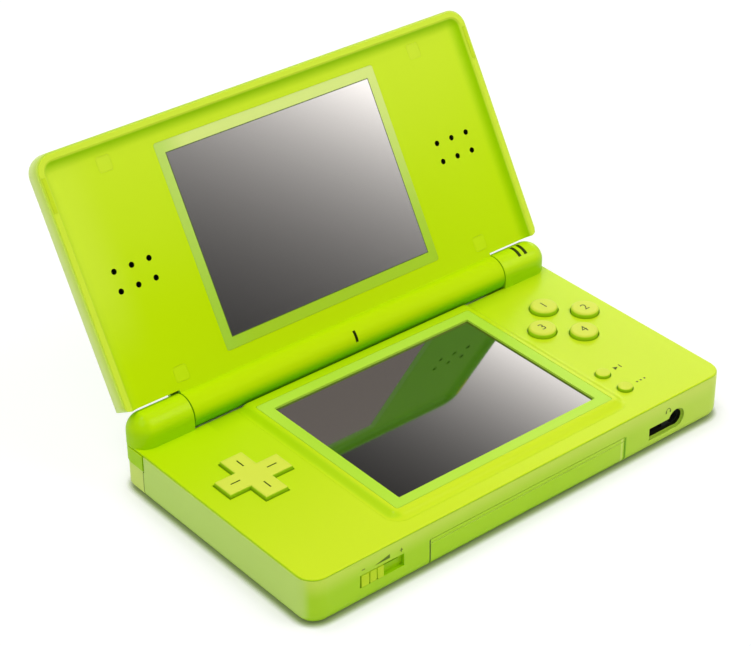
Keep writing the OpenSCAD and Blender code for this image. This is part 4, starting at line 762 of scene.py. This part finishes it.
def metal(name, colour, roughness):
    """Plain metal with a brushed change of roughness."""
    material, tree = new_material(name)
    shader = add(tree, "ShaderNodeBsdfPrincipled", Metallic=1.0)
    mould = add(
        tree, "ShaderNodeGroup", node_tree=MOULDING,
        Roughness=roughness, Grain_Scale=BRUSH_SCALE, Spread=BRUSH_SPREAD,
    )
    shade = mix_colour(tree, mould.outputs["Cloud"], colour, darker(colour, METAL_SHADE))
    join_up(tree, shader, shade, mould)
    return material


steel_finish = metal("steel_finish", linear(196, 197, 200), 0.28)
tin_finish = metal("tin_finish", linear(170, 172, 176), 0.36)
dark_finish = satin_plastic("dark_finish", linear(30, 32, 30), linear(40, 42, 40), 0.5)
board_finish = satin_plastic("board_finish", linear(24, 92, 52), linear(30, 104, 58), 0.45)
wrap_finish = satin_plastic("wrap_finish", linear(214, 214, 216), linear(206, 206, 210), 0.4)
rubber_finish = satin_plastic("rubber_finish", linear(120, 122, 124), linear(110, 112, 114), 0.7)
film_finish = satin_plastic("film_finish", linear(190, 112, 40), linear(176, 102, 36), 0.3)
lamp_finish = satin_plastic("lamp_finish", linear(52, 66, 14), linear(60, 76, 20), 0.25)
bumper_finish = satin_plastic("bumper_finish", linear(206, 232, 44), linear(202, 228, 40), 0.55)
print("inner finishes ready")

# %% [markdown]
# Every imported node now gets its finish. It could be given where each finish is made, but
# one table shows at a glance which pieces share a plastic, and that none is left plain.
# The nodes keep their shape and place; only their material slots change.

# %% Dress the nodes
FINISHES = {
    deck_finish: ["deck", "shoulder_left", "shoulder_right"],
    bezel_finish: ["lid_bezel"],
    cover_finish: ["lid_screw_covers"],
    key_finish: ["button_back", "button_right", "button_left", "button_front"],
    pad_finish: ["direction_pad"],
    small_key_finish: ["start_button", "select_button"],
    knob_finish: ["power_knob", "stylus"],
    volume_finish: ["volume_knob"],
    frame_finish: ["touch_frame"],
    shell_finish: ["base_shell", "battery_cover"],
    slot_cover_finish: ["slot_cover"],
    lid_shell_finish: ["lid_shell"],
    touch_finish: ["touch_panel"],
    lens_finish: ["upper_lens"],
    steel_finish: [
        "battery_cover_screw", "case_screws", "shoulder_pins", "shoulder_springs",
        "hinge_shaft", "lid_screws", "hinge_sleeve",
    ],
    tin_finish: ["lower_display", "upper_display", "card_slot_housing", "wireless_module"],
    dark_finish: [
        "slot_connector", "charge_socket", "audio_jack", "volume_slider", "power_switch",
        "stylus_holder", "speaker_left", "speaker_right", "microphone", "hinge_bush",
        "shoulder_switches",
    ],
    board_finish: ["main_board"],
    wrap_finish: ["battery"],
    rubber_finish: ["contact_domes"],
    film_finish: ["ribbon_cable"],
    lamp_finish: ["light_pipes"],
    bumper_finish: ["lid_bumpers"],
}
dressed = set()
for finish, names in FINISHES.items():
    for name in names:
        materials = NODES[name].data.materials
        materials.clear()
        materials.append(finish)
        dressed.add(name)
print("dressed", len(dressed), "nodes, left plain:", sorted(set(NODES) - dressed))

# %% [markdown]
# Printed marks are thin inked shapes that lie on a surface. They could be masks in the
# plastic's own material, but a thin mesh keeps its sharp edge in every picture and in the
# exported model. Each starts as text or as a few flat bmesh pieces, is given a very small
# thickness, and has its place put into its mesh. The numbers are plain and generic.

# %% Helpers for marks
INK_LIFT = 0.01 * MM
INK_THICK = 0.02 * MM
ARC_STEPS = 14
ink_finish = satin_plastic("ink_finish", INK_AND_SLOT_SHADE, linear(74, 90, 26), 0.5)
faint_ink_finish = satin_plastic(
    "faint_ink_finish", linear(100, 128, 44), linear(106, 134, 48), 0.5,
)


def place_mesh(name, mesh, place, body, material):
    """Puts a mesh where it belongs and hands it to the body that carries it."""
    mesh.transform(place)
    mesh.materials.clear()
    mesh.materials.append(material)
    piece = bpy.data.objects.new(name, mesh)
    bpy.context.scene.collection.objects.link(piece)
    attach(piece, body)


def number_mark(name, text, size, place, body):
    """A printed number as a thin mesh, centred on its place."""
    curve = bpy.data.curves.new(name, "FONT")
    curve.body = text
    curve.size = size
    curve.align_x = "CENTER"
    curve.align_y = "CENTER"
    curve.extrude = INK_THICK / 2
    holder = bpy.data.objects.new(name + "_text", curve)
    bpy.context.scene.collection.objects.link(holder)
    mesh = bpy.data.meshes.new_from_object(holder)
    bpy.data.objects.remove(holder)
    bpy.data.curves.remove(curve)
    mesh.name = name
    place_mesh(name, mesh, place, body, ink_finish)


def add_arc(work, inner, outer, degrees):
    """Sweeps a short line from the inner to the outer radius in mm round the middle."""
    ends = [work.verts.new((radius * MM, 0, 0)) for radius in (inner, outer)]
    line = work.edges.new(ends)
    bmesh.ops.spin(
        work, geom=[*ends, line], cent=(0, 0, 0), axis=(0, 0, 1),
        angle=math.radians(degrees), steps=ARC_STEPS, use_duplicate=False,
    )


def flat_mark(name, shapes, place, body, thick=INK_THICK, ink=ink_finish):
    """Several flat outlines in mm, and arcs as (inner, outer, degrees), as one thin mark."""
    work = bmesh.new()
    for shape in shapes:
        if isinstance(shape[0], tuple):
            work.faces.new([work.verts.new((x * MM, y * MM, 0)) for x, y in shape])
        else:
            add_arc(work, *shape)
    bmesh.ops.recalc_face_normals(work, faces=work.faces)
    made = bmesh.ops.extrude_face_region(work, geom=work.faces[:])
    moved = [item for item in made["geom"] if isinstance(item, bmesh.types.BMVert)]
    bmesh.ops.translate(work, verts=moved, vec=(0, 0, thick))
    bmesh.ops.recalc_face_normals(work, faces=work.faces)
    mesh = bpy.data.meshes.new(name)
    work.to_mesh(mesh)
    work.free()
    place_mesh(name, mesh, place, body, ink)


def bar(x, y, width, height):
    """Four corners of a bar round a middle, in mm."""
    return [
        (x - width / 2, y - height / 2), (x + width / 2, y - height / 2),
        (x + width / 2, y + height / 2), (x - width / 2, y + height / 2),
    ]


print("mark helpers ready")

# %% [markdown]
# Each of the four round keys carries a number, and each arm of the direction pad has a
# short groove filled with ink. A groove cut into the pad would look the same at this
# size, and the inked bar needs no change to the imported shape. Both are found from the top
# of their own node, so they move with it.

# %% Marks on the keys
NUMBER_SIZE = 3.6 * MM
GROOVE_OUT = 5.3
GROOVE_WIDTH, GROOVE_LENGTH = 0.38, 2.76
GROOVE_SUNK = 0.24 * MM
GROOVE_THICK = 0.2 * MM
key_marks = {"button_back": "1", "button_right": "2", "button_left": "3", "button_front": "4"}
for node, text in key_marks.items():
    spot = middle(node)
    place = Matrix.Translation((spot.x, spot.y, top_of(node) + INK_LIFT))
    number_mark("mark_" + node, text, NUMBER_SIZE, place, node)

pad_spot = middle("direction_pad")
pad_place = Matrix.Translation((pad_spot.x, pad_spot.y, top_of("direction_pad") - GROOVE_SUNK))
groove = bar(0, GROOVE_OUT, GROOVE_WIDTH, GROOVE_LENGTH)
for turn in range(4):
    place = pad_place @ Matrix.Rotation(turn * math.pi / 2, 4, "Z")
    flat_mark(f"pad_line_{turn}", [groove], place, "direction_pad", GROOVE_THICK)
print("marks on", len(key_marks), "buttons and the direction pad")

# %% [markdown]
# The small keys have a plain sign each: a triangle with a bar, and three dots. The front
# has a minus, a plus and a wedge over the volume knob, and a pair of headphones over the
# audio opening, in a fainter ink. They could be cut into the plastic, but signs this
# small are printed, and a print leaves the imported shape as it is.

# %% Marks on the deck and the front
KEY_SIGNS = {
    "start": [[(-1.6, -0.65), (-0.3, 0), (-1.6, 0.65)], bar(0.5, 0, 0.3, 1.3)],
    "select": [bar(x, 0, 0.5, 0.5) for x in (-1.3, 0, 1.3)],
}
SIGN_AWAY = (5.6 * MM, 0.1 * MM)
for sign, shapes in KEY_SIGNS.items():
    spot = middle(sign + "_button")
    place = Matrix.Translation((spot.x + SIGN_AWAY[0], spot.y + SIGN_AWAY[1], deck_top + INK_LIFT))
    flat_mark("mark_" + sign, shapes, place, "base")


def on_front(x, z):
    """A place on the front wall, x to the right and z up, in mm."""
    turn = Matrix.Rotation(math.pi / 2, 4, "X")
    return Matrix.Translation((x * MM, front_face - INK_LIFT, z * MM)) @ turn


phones = [(0.62, 0.82, 180), bar(-0.72, -0.25, 0.42, 0.75), bar(0.72, -0.25, 0.42, 0.75)]
front_marks = {
    "mark_minus": ([bar(0, 0, 0.9, 0.22)], -51.2, 9.8),
    "mark_plus_bar": ([bar(0, 0, 0.9, 0.22)], -40.1, 9.8),
    "mark_plus_post": ([bar(0, 0.34, 0.22, 0.46), bar(0, -0.34, 0.22, 0.46)], -40.1, 9.8),
    "mark_wedge": ([[(-2.2, -0.5), (2.2, -0.5), (2.2, 0.55)]], -45.7, 9.75),
    "mark_phones": (phones, 46.4, 9.5),
}
for name, (shapes, x, z) in front_marks.items():
    flat_mark(name, shapes, on_front(x, z), "base", ink=faint_ink_finish)
print("marks on the deck and the front:", len(KEY_SIGNS) + len(front_marks))

# %% [markdown]
# The picture has a plain white ground with a soft shadow under the console. More lamps
# would make a grey floor white, but would also wash out the plastic. So the floor is
# white, and where the camera sees it, part of its light is its own. Ambient occlusion
# takes that part away near the console, and draws the thin dark line where they touch.

# %% Floor
FLOOR_SIZE = 6.0
FLOOR_LEVEL = -0.02 * MM
FLOOR_WHITE = (0.97, 0.97, 0.97, 1)
FLOOR_GLOW = 1.2
TOUCH_SHADE = (0.36, 0.44, 0.19, 1)
TOUCH_REACH = 2.3 * MM
TOUCH_OPEN = (0.42, 0.96)
SHADOW_REACH = 7 * MM
SHADOW_OPEN = (0.45, 1.0)
GLOW_SHARES = (0.15, 0.6)
AO_SAMPLES = 8


def open_air(tree, reach, edges, shares=(0.0, 1.0)):
    """A mask that grows as less stands within reach, from the first share to the second."""
    cover = add(tree, "ShaderNodeAmbientOcclusion", samples=AO_SAMPLES, Distance=reach)
    return ramp_value(tree, cover.outputs["AO"], *edges, *shares)


def floor_material():
    """White ground that keeps a soft shadow, darkest right beside the console."""
    material, tree = new_material("floor_white")
    out = add(tree, "ShaderNodeOutputMaterial")
    matt = add(tree, "ShaderNodeBsdfDiffuse")
    glow = add(tree, "ShaderNodeEmission", Strength=FLOOR_GLOW)
    clear = open_air(tree, TOUCH_REACH, TOUCH_OPEN)
    shade = mix_colour(tree, clear, TOUCH_SHADE, FLOOR_WHITE)
    for node in (matt, glow):
        tree.links.new(shade, node.inputs["Color"])
    path = add(tree, "ShaderNodeLightPath")
    near = open_air(tree, SHADOW_REACH, SHADOW_OPEN, GLOW_SHARES)
    join = add(tree, "ShaderNodeMixShader")
    tree.links.new(multiplied(tree, [path.outputs["Is Camera Ray"], near]), join.inputs[0])
    tree.links.new(matt.outputs[0], join.inputs[1])
    tree.links.new(glow.outputs[0], join.inputs[2])
    tree.links.new(join.outputs[0], out.inputs["Surface"])
    return material


def square(name, size, place=Matrix.Identity(4)):
    """A flat square mesh from one bmesh grid."""
    work = bmesh.new()
    bmesh.ops.create_grid(work, x_segments=1, y_segments=1, size=size / 2, matrix=place)
    mesh = bpy.data.meshes.new(name)
    work.to_mesh(mesh)
    work.free()
    return mesh


level = Matrix.Translation((0, 0, FLOOR_LEVEL))
floor = bpy.data.objects.new("floor", square("floor", FLOOR_SIZE, level))
floor.data.materials.append(floor_material())
bpy.context.scene.collection.objects.link(floor)
print("floor of", FLOOR_SIZE, "m at", FLOOR_LEVEL)

# %% [markdown]
# The world is the white studio all round. It could give all the light at full white, but
# then nothing would shape the console. So the camera, mirrors and clear pieces see it
# white, while as a light it is much weaker than the lamps.

# %% World
WORLD_LIGHT = 0.34
SEEN_RAYS = ("Is Camera Ray", "Is Glossy Ray", "Is Transmission Ray")


def studio_world():
    """White where it is seen, and a weaker light everywhere else."""
    world = bpy.data.worlds.new("world")
    world.use_nodes = True
    tree = world.node_tree
    tree.nodes.clear()
    path = add(tree, "ShaderNodeLightPath")
    seen = path.outputs[SEEN_RAYS[0]]
    for ray in SEEN_RAYS[1:]:
        either = add(tree, "ShaderNodeMath", operation="MAXIMUM")
        tree.links.new(seen, either.inputs[0])
        tree.links.new(path.outputs[ray], either.inputs[1])
        seen = either.outputs[0]
    strength = add(tree, "ShaderNodeMapRange")
    tree.links.new(seen, strength.inputs["Value"])
    strength.inputs["To Min"].default_value = WORLD_LIGHT
    strength.inputs["To Max"].default_value = 1.0
    sky = add(tree, "ShaderNodeBackground")
    sky.inputs["Color"].default_value = (1, 1, 1, 1)
    tree.links.new(strength.outputs[0], sky.inputs["Strength"])
    out = add(tree, "ShaderNodeOutputWorld")
    tree.links.new(sky.outputs[0], out.inputs["Surface"])
    return world


bpy.context.scene.world = studio_world()
print("world light", WORLD_LIGHT)

# %% [markdown]
# Two large soft lamps light the console from above, one from the left and one from the
# front right. One strong lamp would be simpler, but its shadows would be hard; the size
# of these keeps them soft. A small lamp behind puts a soft spot of light on the rounded
# knuckles, and a weak wide one keeps the lid's outer face from going dark.

# %% Lamps
# Each row: place and aim in metres, size in metres, power in watts.
LAMPS = {
    "lamp_left": ((-0.7, -0.2, 1.4), (0, 0, 0), 0.9, 7.4),
    "lamp_right": ((0.8, -0.8, 1.3), (0, 0, 0), 0.9, 8.6),
    "lamp_back": ((-0.2, 0.4, 1.4), (0, 0, 0), 0.15, 2.2),
    "lamp_fill": ((0.2, 1.5, 0.9), (0, 0, 0.03), 0.9, 5.0),
}


def soft_lamp(name, place, aim, size, watts):
    """A square area lamp aimed at a point."""
    data = bpy.data.lights.new(name, "AREA")
    data.size = size
    data.energy = watts
    lamp = bpy.data.objects.new(name, data)
    lamp.location = place
    lamp.rotation_euler = (Vector(aim) - Vector(place)).to_track_quat("-Z", "Y").to_euler()
    bpy.context.scene.collection.objects.link(lamp)


for name, values in LAMPS.items():
    soft_lamp(name, *values)
print(len(LAMPS), "lamps ready")

# %% [markdown]
# The glass shows the studio. A studio picture of it would need an image file, so cards
# that only reflections see stand where the glass of each screen looks. Their light grows
# evenly along one direction, by the same share with each step, which gives the smooth
# change from dark to bright in both screens. A third card is what the upper screen shows
# to the lower one.

# %% Reflection cards
CARD_SIZE = 0.6
CARD_AWAY = 0.7
UPPER_TURN = 147.6
LOWER_TURN = -62.2
GLOW_TINT = (1.0, 0.955, 0.915, 1)
BETWEEN_TINT = (1.0, 0.87, 0.78, 1)
# Each row: level at the centre, growth per metre, where it starts and ends in metres, tint.
GLOWS = {
    "card_upper": (0.92, 21.6, -0.12, 0.075, GLOW_TINT),
    "card_lower": (0.67, 30.5, -0.12, 0.064, GLOW_TINT),
    "card_between": (1.02, 0.0, 0.0, 1.0, BETWEEN_TINT),
}


def card_material(name, centre, growth, low, high, tint):
    """Light that grows along the card's X, between two places, from its centre's level."""
    material, tree = new_material(name)
    out = add(tree, "ShaderNodeOutputMaterial")
    glow = add(tree, "ShaderNodeEmission", Color=tint)
    place = add(tree, "ShaderNodeTexCoord")
    split = add(tree, "ShaderNodeSeparateXYZ")
    tree.links.new(place.outputs["Object"], split.inputs[0])
    held = add(tree, "ShaderNodeClamp", Min=low, Max=high)
    tree.links.new(split.outputs["X"], held.inputs["Value"])
    power = add(tree, "ShaderNodeMath", operation="EXPONENT")
    tree.links.new(scaled(tree, held.outputs[0], growth), power.inputs[0])
    tree.links.new(scaled(tree, power.outputs[0], centre), glow.inputs["Strength"])
    tree.links.new(glow.outputs[0], out.inputs["Surface"])
    return material


def thrown_by(sight, normal):
    """The direction of a ray after a mirror."""
    return sight - 2 * sight.dot(normal) * normal


def reflection_card(name, screen, thrown, turn_deg=0.0):
    """A card that faces a screen from where a view of it is thrown."""
    mesh = square(name, CARD_SIZE)
    mesh.materials.append(card_material(name + "_glow", *GLOWS[name]))
    card = bpy.data.objects.new(name, mesh)
    card.location = screen + CARD_AWAY * thrown
    facing = (-thrown).to_track_quat("Z", "Y").to_matrix().to_4x4()
    card.rotation_euler = (facing @ Matrix.Rotation(math.radians(turn_deg), 4, "Z")).to_euler()
    card.visible_camera = False
    card.visible_diffuse = False
    card.visible_shadow = False
    bpy.context.scene.collection.objects.link(card)


UP = Vector((0, 0, 1))
lid_normal = (lid_frame.to_3x3() @ UP).normalized()
upper_middle = lid_frame @ Vector((0, LENS_MIDDLE, FACE_LEVEL))
lower_middle = middle("touch_panel")
upper_thrown = thrown_by((upper_middle - CAMERA_PLACE).normalized(), lid_normal)
lower_thrown = thrown_by((lower_middle - CAMERA_PLACE).normalized(), UP)
between_thrown = thrown_by(lower_thrown, lid_normal)
reflection_card("card_upper", upper_middle, upper_thrown, UPPER_TURN)
reflection_card("card_lower", lower_middle, lower_thrown, LOWER_TURN)
reflection_card("card_between", upper_middle, between_thrown)
print(len(GLOWS), "reflection cards ready")

# %% [markdown]
# The view transform stays plain, so a colour shows as it is written.

# %% Finish
bpy.context.scene.view_settings.view_transform = "Standard"
